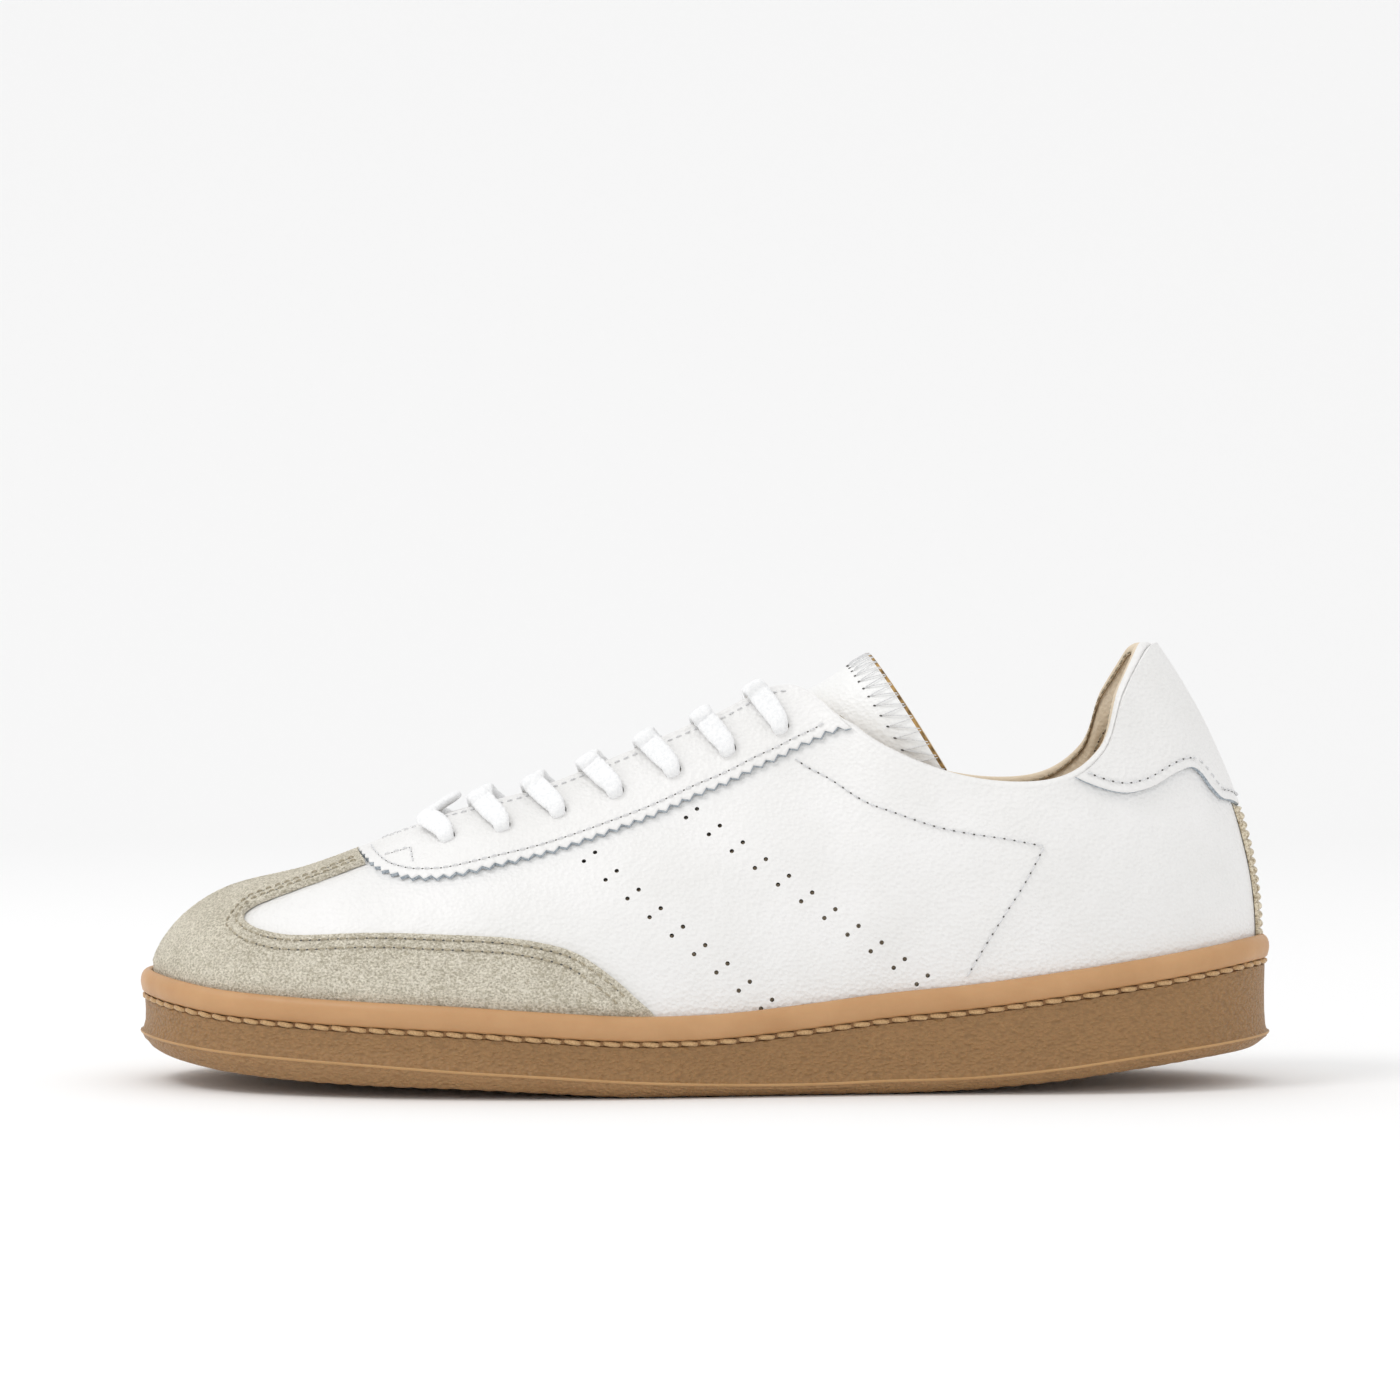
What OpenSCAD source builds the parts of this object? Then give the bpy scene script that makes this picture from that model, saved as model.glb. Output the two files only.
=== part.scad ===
// Low-top court shoe: gum cup sole, leather upper with suede toe cap, laced facings and a hinged tongue.
// Left shoe, toe towards -X, heel towards +X, lateral side towards -Y, sole on z = 0. Millimetres.

/* [Leather] */
// Thickness of the main upper leather
leather_t = 1.3; // [1:0.1:1.6]
// Thickness of an overlay such as the eyestay or the toe cap
overlay_t = 1.2; // [0.8:0.1:1.4]
// Thickness of the leather lining
lining_t = 1.0; // [0.8:0.1:1.2]

/* [Padding] */
// Thickest point of the collar foam
collar_pad = 3.4; // [2:0.2:4]
// Thickness of the tongue foam
tongue_pad = 2.4; // [1.6:0.2:2.8]
// Thickness of the footbed foam
footbed_t = 4; // [3:0.5:4.5]

/* [Sole] */
// Outward overhang of the cup sole past the upper
sole_overhang = 3.7; // [3:0.1:4.2]
// Depth of the stitched groove below the lip
groove_drop = 7; // [6:0.5:8]
// Rubber thickness under the cup floor
floor_t = 5; // [4:0.5:6]

/* [Lacing] */
// Bore of each punched eyelet
eyelet_d = 4.4; // [4:0.1:5]
// Diameter of the lace where it is drawn round
lace_d = 2.4; // [2:0.1:2.6]

/* [Hidden] */

LATERAL = 1;
MEDIAL = -1;
gap = 0.3;          // clearance between layers that lie on each other
rib_start = 5;      // the upper starts this far below the lip of the sole
rows = 8;           // grid rows from feather line to top edge
steps = 2;          // grid ribs between two stations

// Colours of the visible materials.
WHITE = [0.96, 0.96, 0.95];
SUEDE = [0.79, 0.76, 0.67];
TAN = [0.82, 0.71, 0.56];
GUM = [0.66, 0.49, 0.32];
FOAM = [0.90, 0.86, 0.74];
TAPE = [0.80, 0.75, 0.62];

// Stations from the toe (0) round one side to the heel (17), given for the wider, lateral side:
// feather line x, y, lip height; top edge x, y, z; bulge out and up at the feather, out and down at the top;
// height of the sole's parting rib and of its underside.
stations = [
    [-145, 0, 29.5, -121, 0, 50.8, 0.5, 13, 11, 2.6, 13.2, 8.5],
    [-142, 13, 29.2, -117.5, 0, 51.8, 0.5, 14, 14, 3.4, 12.9, 8.0],
    [-134, 25, 28, -112, 0, 53, 0.8, 16, 17, 3.2, 12, 6.6],
    [-121, 34.5, 26.3, -105, 0, 54.7, 1, 18, 20, 2.6, 10.8, 4.9],
    [-103, 41.5, 25.2, -96.5, 0, 57.6, 1.5, 20, 23, 2, 9.7, 3.6],
    [-83, 45.8, 24.3, -86, 0, 61.6, 1.5, 20, 22, 1, 8.6, 2.8],
    [-62, 47.5, 23.4, -66, 9.5, 69.4, 2, 20, 15, 6, 7.2, 2.2],
    [-40, 47.5, 22, -44, 10.5, 75.6, 2, 22, 13, 8, 5.9, 1.2],
    [-18, 45.5, 20.8, -21, 11, 85, 2, 26, 11, 10, 4.4, 0],
    [4, 42, 21.2, 2, 11.5, 95, 2, 30, 9, 12, 3.5, 0],
    [26, 38.5, 23.4, 23.5, 12.5, 103.3, 2, 32, 9, 13, 3.3, 0],
    [46, 36, 25.9, 44, 27, 88, 2.5, 28, 5, 18, 3.9, 0],
    [68, 34.5, 28, 67, 31.5, 79, 3, 20, 4, 16, 4.5, 0.8],
    [90, 33.8, 31, 89, 31.5, 78.3, 3, 18, 4, 16, 6.6, 2.8],
    [110, 31, 34, 102, 27, 86.3, 3, 20, 5, 18, 9.4, 5.5],
    [127, 24.5, 36.6, 108, 20.5, 101.5, 3, 24, 7, 24, 11.5, 7.6],
    [139.5, 13.5, 38.4, 114.6, 11.5, 112.6, 2.5, 26, 13, 26, 12.7, 8.7],
    [145, 0, 38.7, 118, 0, 114.3, 1.5, 26, 18, 26, 13.1, 9.3]
];
HEEL = len(stations) - 1;   // station of the heel seam
THROAT = 5;                 // station where the throat opens
CORNER = 10;                // station of the throat's top corner

// ---- curves -------------------------------------------------------------------------------------

function unit(v) = v / max(norm(v), 1e-9);
function clamp(x, lo, hi) = min(max(x, lo), hi);
function smooth(x, lo, hi) = let (t = clamp((x - lo) / (hi - lo), 0, 1)) t * t * (3 - 2 * t);

// Catmull-Rom through the rows of a table, at a fractional row number.
function along(table, s) =
    let (
        last = len(table) - 1,
        i = min(floor(s), last - 1),
        t = s - i,
        b = table[i],
        c = table[i + 1],
        a = i > 0 ? table[i - 1] : 2 * b - c,
        d = i < last - 1 ? table[i + 2] : 2 * c - b
    )
    (2 * b + (c - a) * t + (2 * a - 5 * b + 4 * c - d) * t * t + (3 * b - a - 3 * c + d) * t * t * t) / 2;

// The last and first stations mirror across the centre line, so the outline is round there.
function mirrored(row) = [for (k = [0 : len(row) - 1]) (k == 1 || k == 4) ? -row[k] : row[k]];
padded_stations = concat(
    [mirrored(stations[2]), mirrored(stations[1])],
    stations,
    [mirrored(stations[HEEL - 1]), mirrored(stations[HEEL - 2])]
);
function station(s) = along(padded_stations, clamp(s, 0, HEEL) + 2);

// Outward direction of the feather line in plan.
function outward(s) =
    let (
        a = along(padded_stations, s + 2 - 0.02),
        b = along(padded_stations, s + 2 + 0.02)
    )
    unit([-(b[1] - a[1]), b[0] - a[0], 0]);

function bezier(a, b, c, d, t) =
    a * pow(1 - t, 3) + 3 * b * pow(1 - t, 2) * t + 3 * c * (1 - t) * t * t + d * t * t * t;

// A point of the upper's outer surface: s runs from toe to heel, v from the feather line to the top edge.
function skin(s, v) =
    let (
        k = station(s),
        o = outward(s),
        foot = [k[0], k[1], k[2] - rib_start],
        top = [k[3], max(k[4], 0), k[5]]
    )
    bezier(foot, foot + o * k[6] + [0, 0, k[7]], top + o * k[8] - [0, 0, k[9]], top, v);

// Its outward normal; on the centre line it stays in the centre plane.
function skin_normal(s, v) =
    let (
        sc = clamp(s, 0.03, HEEL - 0.03),
        vc = clamp(v, 0.02, 0.96),
        ds = skin(sc + 0.02, vc) - skin(sc - 0.02, vc),
        dv = skin(sc, vc + 0.02) - skin(sc, vc - 0.02),
        n = cross(dv, ds),
        centred = s < 0.01 || s > HEEL - 0.01 || (v > 0.99 && s < THROAT + 0.01)
    )
    unit(centred ? [n[0], 0, n[2]] : n);

function layer(s, v, d) = skin(s, v) + skin_normal(s, v) * d;

// Places a lateral-side point on either side: the toe turns inwards, the medial waist is narrower.
toe_turn = 5;
function turn(x) = toe_turn * pow(clamp((-40 - x) / 108, 0, 1.1), 2);
function medial_width(x) = 1 + 0.04 * exp(-pow((x + 62) / 30, 2)) - 0.1 * exp(-pow((x - 22) / 42, 2));
function place(side, p) =
    let (y = abs(p[1]) < 1e-6 ? 0 : side == LATERAL ? -p[1] : p[1] * medial_width(p[0]))
    [p[0], y + turn(p[0]), p[2]];

// ---- closed sheets ------------------------------------------------------------------------------

function reversed(faces) = [for (f = faces) [f[2], f[1], f[0]]];
function flip(faces, side) = side == LATERAL ? faces : reversed(faces);
function quad(a, b, c, d) = [[a, b, c], [a, c, d]];

// Faces of one sheet of nu x nv cells: outer points first, inner points after them. near and far close its
// ends with a wall; its low and high edges are closed from the given column on, and joined before it.
function sheet_faces(nu, nv, near, far, low_from, high_from) =
    let (
        m = (nu + 1) * (nv + 1),
        o = function(i, j) i * (nv + 1) + j,
        p = function(i, j) m + i * (nv + 1) + j
    )
    [
        for (i = [0 : nu - 1], j = [0 : nv - 1])
            each quad(o(i, j + 1), o(i + 1, j + 1), o(i + 1, j), o(i, j)),
        for (i = [0 : nu - 1], j = [0 : nv - 1])
            each quad(p(i + 1, j), p(i + 1, j + 1), p(i, j + 1), p(i, j)),
        if (near) for (j = [0 : nv - 1]) each quad(o(0, j + 1), o(0, j), p(0, j), p(0, j + 1)),
        if (far) for (j = [0 : nv - 1]) each quad(o(nu, j), o(nu, j + 1), p(nu, j + 1), p(nu, j)),
        for (i = [0 : nu - 1]) if (i >= low_from) each quad(o(i, 0), o(i + 1, 0), p(i + 1, 0), p(i, 0)),
        for (i = [0 : nu - 1]) if (i >= high_from)
            each quad(o(i + 1, nv), o(i, nv), p(i, nv), p(i + 1, nv))
    ];

function moved(faces, by) = [for (f = faces) [f[0] + by, f[1] + by, f[2] + by]];

// Points of a sheet between two depths; lo and hi give its v range at a station, and outer and inner
// its depths below (-) or above (+) the skin.
function sheet_points(side, ribs, nv, lo, hi, outer, inner) =
    [
        for (depth = [outer, inner], s = ribs, j = [0 : nv])
            let (v = lo(s) + (hi(s) - lo(s)) * j / nv)
            place(side, layer(s, v, depth(s, v)))
    ];

// Stations used by a sheet: its own ends, and every shared rib between them.
function ribs(from, to) = [
    from,
    for (k = [floor(from * steps) + 1 : ceil(to * steps) - 1]) k / steps,
    to
];

// A sheet on one side only, with walls all round.
module side_sheet(side, from, to, nv, lo, hi, outer, inner) {
    stations_used = ribs(from, to);
    polyhedron(
        sheet_points(side, stations_used, nv, lo, hi, outer, inner),
        flip(sheet_faces(len(stations_used) - 1, nv, true, true, 0, 0), side)
    );
}

// Points and faces of a sheet on both sides, joined where its walls are left out.
function both_sides(stations_used, nv, lo, hi, outer, inner) = [
    for (side = [LATERAL, MEDIAL]) each sheet_points(side, stations_used, nv, lo, hi, outer, inner)
];
function both_faces(faces, points_a_side) =
    concat(flip(faces, LATERAL), moved(flip(faces, MEDIAL), points_a_side));

// A sheet that runs over the centre line, joined at the toe or the heel and along the ridge in front of
// the throat.
module wrapped_sheet(from, to, nv, lo, hi, outer, inner, joins_toe, joins_heel) {
    stations_used = ribs(from, to);
    nu = len(stations_used) - 1;
    open_from = to <= THROAT ? nu : len([for (s = stations_used) if (s < THROAT) s]);
    faces = sheet_faces(nu, nv, !joins_toe, !joins_heel, 0, joins_heel ? 0 : open_from);
    polyhedron(
        both_sides(stations_used, nv, lo, hi, outer, inner),
        both_faces(faces, 2 * (nu + 1) * (nv + 1))
    );
}

// A slab inside the sole: inset from the feather line, between two heights given at each station.
module slab(inset, z_low, z_high) {
    stations_used = ribs(0, HEEL);
    n = len(stations_used);
    ring = function(z) [
        for (s = stations_used) place(LATERAL, edge_point(s, -inset, z(s))),
        for (k = [n - 2 : -1 : 1]) place(MEDIAL, edge_point(stations_used[k], -inset, z(stations_used[k])))
    ];
    loop = 2 * n - 2;
    polyhedron(
        concat(ring(z_low), ring(z_high)),
        concat(strip_cap(n, 0, true), strip_cap(n, loop, false), ring_walls(loop, 0, loop))
    );
}

function edge_point(s, out, z) =
    let (k = station(s), o = outward(s))
    [k[0] + o[0] * out, max(k[1] + o[1] * out, (s < 0.01 || s > HEEL - 0.01) ? 0 : 0.01), z];

// A flat cap across a closed ring of 2n - 2 points, in strips from side to side.
function strip_cap(n, start, down) =
    let (
        loop = 2 * n - 2,
        far = function(i) start + (loop - i) % loop,
        faces = [
            for (i = [0 : n - 2])
                let (a = start + i, b = start + i + 1, c = far(i + 1), d = far(i))
                each (i == 0 ? [[a, b, c]] : i == n - 2 ? [[a, b, d]] : quad(a, b, c, d))
        ]
    )
    down ? faces : [for (f = faces) [f[2], f[1], f[0]]];

// Walls between two closed rings that start at the given point numbers.
function ring_walls(loop, low, high) =
    [for (i = [0 : loop - 1]) let (j = (i + 1) % loop) each quad(low + i, high + i, high + j, low + j)];

// ---- the sole -----------------------------------------------------------------------------------

function lip_z(s) = station(s)[2];
function rib_z(s) = station(s)[10];
function under_z(s) = max(station(s)[11], 0);
function groove_z(s) = lip_z(s) - groove_drop;

groove_out = sole_overhang - 2.5;   // outward offset of the groove's bottom

// Cross-section of the cup wall, from the underside round the lip to the cup floor:
// [outward offset, height at a station].
cup_wall = [
    [-3, function(s) under_z(s)],
    [0.6, function(s) under_z(s) + 0.9],
    [2.6, function(s) (under_z(s) + rib_z(s)) / 2 + 0.6],
    [sole_overhang, function(s) rib_z(s)],
    [sole_overhang - 0.8, function(s) rib_z(s) + 1.2],
    [sole_overhang - 1.3, function(s) (rib_z(s) + groove_z(s)) / 2],
    [sole_overhang - 1.3, function(s) groove_z(s) - 1.2],
    [groove_out, function(s) groove_z(s)],
    [sole_overhang - 1.5, function(s) groove_z(s) + 1.4],
    [sole_overhang - 0.1, function(s) lip_z(s) - 3.2],
    [sole_overhang - 0.8, function(s) lip_z(s) - 0.8],
    [1.2, function(s) lip_z(s)],
    [0.4, function(s) lip_z(s) - 1.2],
    [0.4, function(s) under_z(s) + floor_t]
];

module outsole() {
    stations_used = ribs(0, HEEL);
    n = len(stations_used);
    loop = 2 * n - 2;
    m = len(cup_wall);
    color(GUM)
        polyhedron(
            [
                for (w = cup_wall) each [
                    for (s = stations_used) place(LATERAL, edge_point(s, w[0], w[1](s))),
                    for (k = [n - 2 : -1 : 1])
                        place(MEDIAL, edge_point(stations_used[k], w[0], w[1](stations_used[k])))
                ]
            ],
            concat(
                strip_cap(n, 0, true),
                strip_cap(n, (m - 1) * loop, false),
                [for (k = [0 : m - 2]) each ring_walls(loop, k * loop, (k + 1) * loop)]
            )
        );
}

// Thread in the groove: one short length per stitch.
stitch_d = 0.9;
stitch_count = 58;      // stitches on each side, from toe to heel
stitch_share = 0.36;    // half a stitch's length, as a share of the pitch
function in_groove(side, k) =
    let (s = HEEL * k / stitch_count)
    place(side, edge_point(s, groove_out + 1.15, groove_z(s) + 0.1));
module sole_stitch() {
    color(TAN)
        for (side = [LATERAL, MEDIAL], k = [1 : stitch_count - 1])
            stitch(in_groove(side, k - stitch_share), in_groove(side, k + stitch_share), stitch_d);
}

module stitch(a, b, d) {
    run = b - a;
    translate(a)
        rotate([0, acos(run[2] / norm(run)), atan2(run[1], run[0])])
            cylinder(d = d, h = norm(run), $fn = 16);
}

module midsole_wedge() {
    color(FOAM)
        slab(0.2, function(s) under_z(s) + floor_t + 0.2, function(s) lip_z(s) - 8.4);
}

module insole_board() {
    color(TAN)
        slab(0.4, function(s) lip_z(s) - 8.2, function(s) lip_z(s) - 6.2);
}

footbed_inset = 5.6;
module footbed_foam() {
    color(FOAM)
        slab(footbed_inset, function(s) lip_z(s) - 6, function(s) lip_z(s) - 6 + footbed_t);
}

module footbed_cover() {
    color(TAN)
        slab(
            footbed_inset,
            function(s) lip_z(s) - 5.8 + footbed_t,
            function(s) lip_z(s) - 4.6 + footbed_t
        );
}

// ---- the upper ----------------------------------------------------------------------------------

// Depth that stiffeners and padding take between the leather and the lining.
function stiffener_depth(s, v) =
    puff_t * (1 - smooth(s, 3, 5)) +
    counter_t * smooth(s, 12.5, 14) * (1 - smooth(v, 0.5, 0.7)) +
    backing_t * smooth(s, 4.5, 5.5) * (1 - smooth(s, 10.5, 11.2)) * smooth(v, 0.5, 0.62);
function foam_depth(s, v) =
    collar_pad * smooth(s, 10.6, 11.6) * smooth(v, 0.6, 0.8) * (1 - smooth(v, 0.9, 1.05));
puff_t = 1.2;
counter_t = 1.6;
backing_t = 0.7;
slack = 0.1;        // clearance between layers on the same ribs and rows
under_leather = -leather_t - slack;
skin_depth = function(s, v) 0;
leather_in = function(s, v) -leather_t;
lining_out = function(s, v) under_leather - slack - stiffener_depth(s, v) - foam_depth(s, v);
lining_in = function(s, v) lining_out(s, v) - lining_t;
on_skin = function(s, v) gap;
overlay_out = function(s, v) gap + overlay_t;
bottom = function(s) 0;
top_edge = function(s) 1;

// Eyelets: seven a side, an even pitch along the facing.
eyelet_count = 7;
eyelet_v = 0.8;
eyelet_first = 6;
eyelet_last = 9.8;
function eyelet_s(k) = eyelet_first + (eyelet_last - eyelet_first) * k / (eyelet_count - 1);
function eyelet(side, k, d) = place(side, layer(eyelet_s(k), eyelet_v, d));

module eyelet_bores(side) {
    for (k = [0 : eyelet_count - 1])
        bore(eyelet(side, k, -8), eyelet(side, k, 6));
}

module bore(a, b) {
    stitch(a, b, eyelet_d);
}

module quarter(side) {
    color(WHITE)
        difference() {
            side_sheet(side, 0, HEEL, rows, bottom, top_edge, skin_depth, leather_in);
            eyelet_bores(side);
        }
}

module quarter_lateral() {
    quarter(LATERAL);
}

module quarter_medial() {
    quarter(MEDIAL);
}

// Linings run behind the side panels; the toe has a softer textile vamp lining.
vamp_end = 5;
module lining(side) {
    color(TAN)
        difference() {
            side_sheet(side, vamp_end, HEEL, rows, bottom, top_edge, lining_out, lining_in);
            eyelet_bores(side);
        }
}

module lining_lateral() {
    lining(LATERAL);
}

module lining_medial() {
    lining(MEDIAL);
}

module vamp_lining() {
    color(FOAM)
        wrapped_sheet(0, vamp_end - 0.02, rows, bottom, top_edge, lining_out, lining_in, true, false);
}

module toe_puff() {
    color(FOAM)
        wrapped_sheet(
            0, 3, rows, bottom, top_edge,
            function(s, v) under_leather,
            function(s, v) under_leather - puff_t + slack,
            true, false
        );
}

module heel_counter() {
    color(FOAM)
        wrapped_sheet(
            14, HEEL, 4, bottom, function(s) 0.5,
            function(s, v) under_leather,
            function(s, v) under_leather - counter_t + slack,
            false, true
        );
}

module collar_foam(side) {
    color(FOAM)
        side_sheet(
            side, 11.5, HEEL - 0.5, 2, function(s) 0.75, top_edge,
            function(s, v) under_leather,
            function(s, v) lining_out(s, v) + gap
        );
}

module collar_foam_lateral() {
    collar_foam(LATERAL);
}

module collar_foam_medial() {
    collar_foam(MEDIAL);
}

// Folded leather edging along the top line, from one throat corner round the heel to the other.
module collar_binding() {
    from = CORNER + 0.5;
    stations_used = ribs(from, HEEL);
    section = [[0.1, 0.25], [-0.2, 1.6], [-1.6, 2.2], [-3.6, 1.6], [-4, 0.25]];
    m = len(section);
    n = len(stations_used);
    points = [
        for (s = stations_used, c = section) place(LATERAL, rim_point(s, c)),
        for (k = [n - 2 : -1 : 0], c = section) place(MEDIAL, rim_point(stations_used[k], c))
    ];
    color(TAN)
        polyhedron(points, tube_faces(2 * n - 1, m));
}

function rim_point(s, c) =
    let (
        top = skin(s, 1),
        up = unit(top - skin(s, 0.96)),
        n = skin_normal(s, 1)
    )
    top + n * c[0] + up * c[1];

// Faces of a swept tube: rings of m points each, closed at both ends.
function tube_faces(rings, m) =
    [
        for (i = [0 : rings - 2], j = [0 : m - 1])
            let (a = i * m + j, b = i * m + (j + 1) % m)
            each quad(a, b, b + m, a + m),
        for (j = [1 : m - 2]) [0, j + 1, j],
        for (j = [1 : m - 2]) let (e = (rings - 1) * m) [e, e + j, e + j + 1]
    ];

// Suede toe cap: a band round the toe whose wings run back along the lip, and a strap up the ridge.
cap_tip = 3;        // station where the band and the strap part
cap_back = 8;       // station where the wings end
strap_back = 4.4;   // station where the strap goes under the eyestay
// Where a rib comes out above the lip of the sole.
function lip_v(s) = 1.1 * rib_start / (3 * station(s)[7]);
function band_top(s) =
    lookup(s, [
        [cap_tip, 0.51], [3.5, 0.41], [4, 0.375], [5, 0.36], [6, 0.355], [7, 0.32], [7.5, 0.265],
        [cap_back, 0.18]
    ]);
function strap_low(s) = lookup(s, [[cap_tip, 0.51], [3.5, 0.665], [4, 0.73], [strap_back, 0.77]]);

module toe_cap() {
    band = ribs(0, cap_back);
    strap = ribs(0, strap_back);
    band_rows = 3;
    strap_rows = 5;
    tip = cap_tip * steps;
    band_points = both_sides(
        band, band_rows, function(s) lip_v(s), function(s) band_top(s), overlay_out, on_skin);
    strap_points = both_sides(
        strap, strap_rows, function(s) strap_low(s), top_edge, overlay_out, on_skin);
    band_faces = both_faces(
        sheet_faces(len(band) - 1, band_rows, false, true, 0, tip), len(band_points) / 2);
    strap_faces = both_faces(
        sheet_faces(len(strap) - 1, strap_rows, false, true, tip, len(strap)), len(strap_points) / 2);
    color(SUEDE)
        polyhedron(
            concat(band_points, strap_points),
            concat(band_faces, moved(strap_faces, len(band_points)))
        );
}

// Eyestay: one overlay round the throat that carries the eyelets of both facings.
stay_front = 4.5;
stay_back = 10.5;
function stay_low(s) =
    lookup(s, [
        [stay_front, 0.93], [5, 0.7], [5.5, 0.6], [6, 0.6], [7, 0.62], [8, 0.635], [9, 0.68], [10, 0.72],
        [stay_back, 0.83]
    ]);

module eyestay() {
    color(WHITE)
        difference() {
            wrapped_sheet(stay_front, stay_back, 4, function(s) stay_low(s), top_edge,
                overlay_out, on_skin, false, false);
            eyelet_bores(LATERAL);
            eyelet_bores(MEDIAL);
        }
}

// Woven tape between leather and lining that keeps the eyelets from tearing out.
module eyestay_backing(side) {
    color(TAPE)
        difference() {
            side_sheet(
                side, 5.5, 10, 3, function(s) 0.625, top_edge,
                function(s, v) under_leather,
                function(s, v) under_leather - backing_t + 2 * slack
            );
            eyelet_bores(side);
        }
}

module eyestay_backing_lateral() {
    eyestay_backing(LATERAL);
}

module eyestay_backing_medial() {
    eyestay_backing(MEDIAL);
}

// Heel tab with its wavy lower edge, and the ribbed tape that covers the heel seam below it.
tab_front = 13.4;
function tab_low(s) =
    lookup(s, [
        [tab_front, 0.96], [14, 0.82], [14.5, 0.73], [15, 0.675], [15.5, 0.675], [16, 0.57], [16.5, 0.495],
        [HEEL, 0.475]
    ]);

module heel_tab() {
    color(WHITE)
        wrapped_sheet(tab_front, HEEL, 4, function(s) tab_low(s), top_edge,
            overlay_out, on_skin, false, true);
}

strip_t = 1.6;
module heel_strip() {
    color(TAPE)
        wrapped_sheet(
            16.68, HEEL, 6, function(s) lip_v(s), function(s) 0.46,
            function(s, v) gap + strip_t, on_skin, false, true
        );
}

// ---- the tongue ---------------------------------------------------------------------------------

// Crown line and arch of the tongue, front to top: x, z, half width, drop of a quarter turn, half angle.
tongue_stations = [
    [-81, 53, 12, 14, 60],
    [-62, 60.5, 16, 24, 66],
    [-41, 68.8, 17, 30, 64],
    [-20, 77.6, 17.5, 34, 62],
    [1, 87.4, 17.5, 37, 60],
    [22, 99.6, 17.5, 38, 63],
    [43.5, 112.6, 24, 36, 80]
];
TOP = len(tongue_stations) - 1;
tongue_leather_t = 1.1;
tongue_lining_t = 0.8;

function tongue_skin(a, b) =
    let (
        k = along(tongue_stations, a),
        ahead = along(tongue_stations, min(a + 0.02, TOP)) - along(tongue_stations, max(a - 0.02, 0)),
        run = unit([ahead[0], 0, ahead[1]]),
        down = [run[2], 0, -run[0]],
        angle = b * k[4]
    )
    [k[0], 0, k[1]] + [0, -k[2] * sin(angle), 0] + down * k[3] * (1 - cos(angle));

function tongue_layer(a, b, d) =
    let (
        da = tongue_skin(min(a + 0.02, TOP), b) - tongue_skin(max(a - 0.02, 0), b),
        db = tongue_skin(a, b + 0.02) - tongue_skin(a, b - 0.02),
        p = tongue_skin(a, b) + unit(cross(db, da)) * d
    )
    [p[0], p[1] + turn(p[0]), p[2]];

// Every layer keeps to one grid: two columns a station and eight across the whole width.
module tongue_sheet(from, to, edge, outer, inner) {
    nu = round((to - from) * 2);
    nv = round(edge * 8);
    polyhedron(
        [
            for (d = [outer, inner], i = [0 : nu], j = [0 : nv])
                tongue_layer(from + (to - from) * i / nu, edge * (2 * j / nv - 1), d)
        ],
        reversed(sheet_faces(nu, nv, true, true, 0, 0))
    );
}

module tongue_leather() {
    color(WHITE)
        tongue_sheet(0, TOP, 1, 0, -tongue_leather_t);
}

module tongue_foam() {
    color(FOAM)
        tongue_sheet(0.5, TOP - 0.5, 0.75, -tongue_leather_t - slack, -tongue_leather_t - tongue_pad);
}

module tongue_lining() {
    color(TAN)
        tongue_sheet(
            0, TOP, 1,
            -tongue_leather_t - tongue_pad - slack,
            -tongue_leather_t - tongue_pad - slack - tongue_lining_t
        );
}

// ---- the lace -----------------------------------------------------------------------------------

lace_r = lace_d / 2;
lace_over = gap + overlay_t + 0.4 + lace_r;     // height of the lace above the skin on the facing
lining_depth_at_eyelets = leather_t + 2 * slack + backing_t + lining_t;
lace_under = -lining_depth_at_eyelets - 0.5 - lace_r;   // and below it, under the facing

function crown(x) =
    let (
        table = tongue_stations,
        i = max([for (k = [0 : TOP - 1]) table[k][0] <= x ? k : 0]),
        t = (x - table[i][0]) / (table[i + 1][0] - table[i][0])
    )
    along(table, i + t)[1];

// Turns round the edge of an eyelet: down through it from above, or up through it from below.
function turn_in(side, k) = [
    for (p = [
        [0.95, lace_over + 0.8], [0.86, lace_over + 0.2], [0.818, lace_over],
        [eyelet_v, lace_over - 1.5], [eyelet_v, -1]
    ])
        place(side, layer(eyelet_s(k), p[0], p[1]))
];
function turn_out(side, k) = [
    for (p = [[eyelet_v, lace_under + 1.6], [0.818, lace_under], [0.86, lace_under]])
        place(side, layer(eyelet_s(k) + 6 * (p[0] - 0.8) * 0.3, p[0], p[1]))
];

// From under one facing, over the tongue and the other facing, and down into the next eyelet.
function crossing(side, k, lift) =
    let (
        p = place(side, layer(eyelet_s(k), eyelet_v, lace_under)),
        q = place(-side, layer(eyelet_s(k + 1), eyelet_v, lace_over)),
        x = (p[0] + q[0]) / 2
    )
    concat(
        turn_out(side, k),
        [
            place(side, [x - 3, 7, crown(x - 3) + lift / 2 - 0.2]),
            [x, turn(x), crown(x) + lace_r + 1.3 + lift],
            place(-side, layer(eyelet_s(k + 1) - 0.1, 1, lace_over + 1.5))
        ],
        turn_in(-side, k + 1)
    );

// The end of the lace is tucked in: down the lining and back along the edge of the footbed.
// Station, height on the rib, and distance from the lining.
tuck_route = [
    [9.9, 0.7, 0.7], [10, 0.56, 0.8], [10.1, 0.42, 0.9], [10.3, 0.28, 1.2], [10.6, 0.17, 1.2],
    [11, 0.11, 1.2], [11.5, 0.1, 1.2], [12, 0.1, 2], [12.5, 0.1, 3.5], [13, 0.1, 6]
];
function tucked(side) = concat(
    [place(side, layer(9.8, 0.8, lace_under + 1.6)), place(side, layer(9.83, 0.775, lace_under - 0.3))],
    [for (p = tuck_route) place(side, layer(p[0], p[1], lining_in(p[0], p[1]) - p[2] - lace_r))]
);

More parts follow.
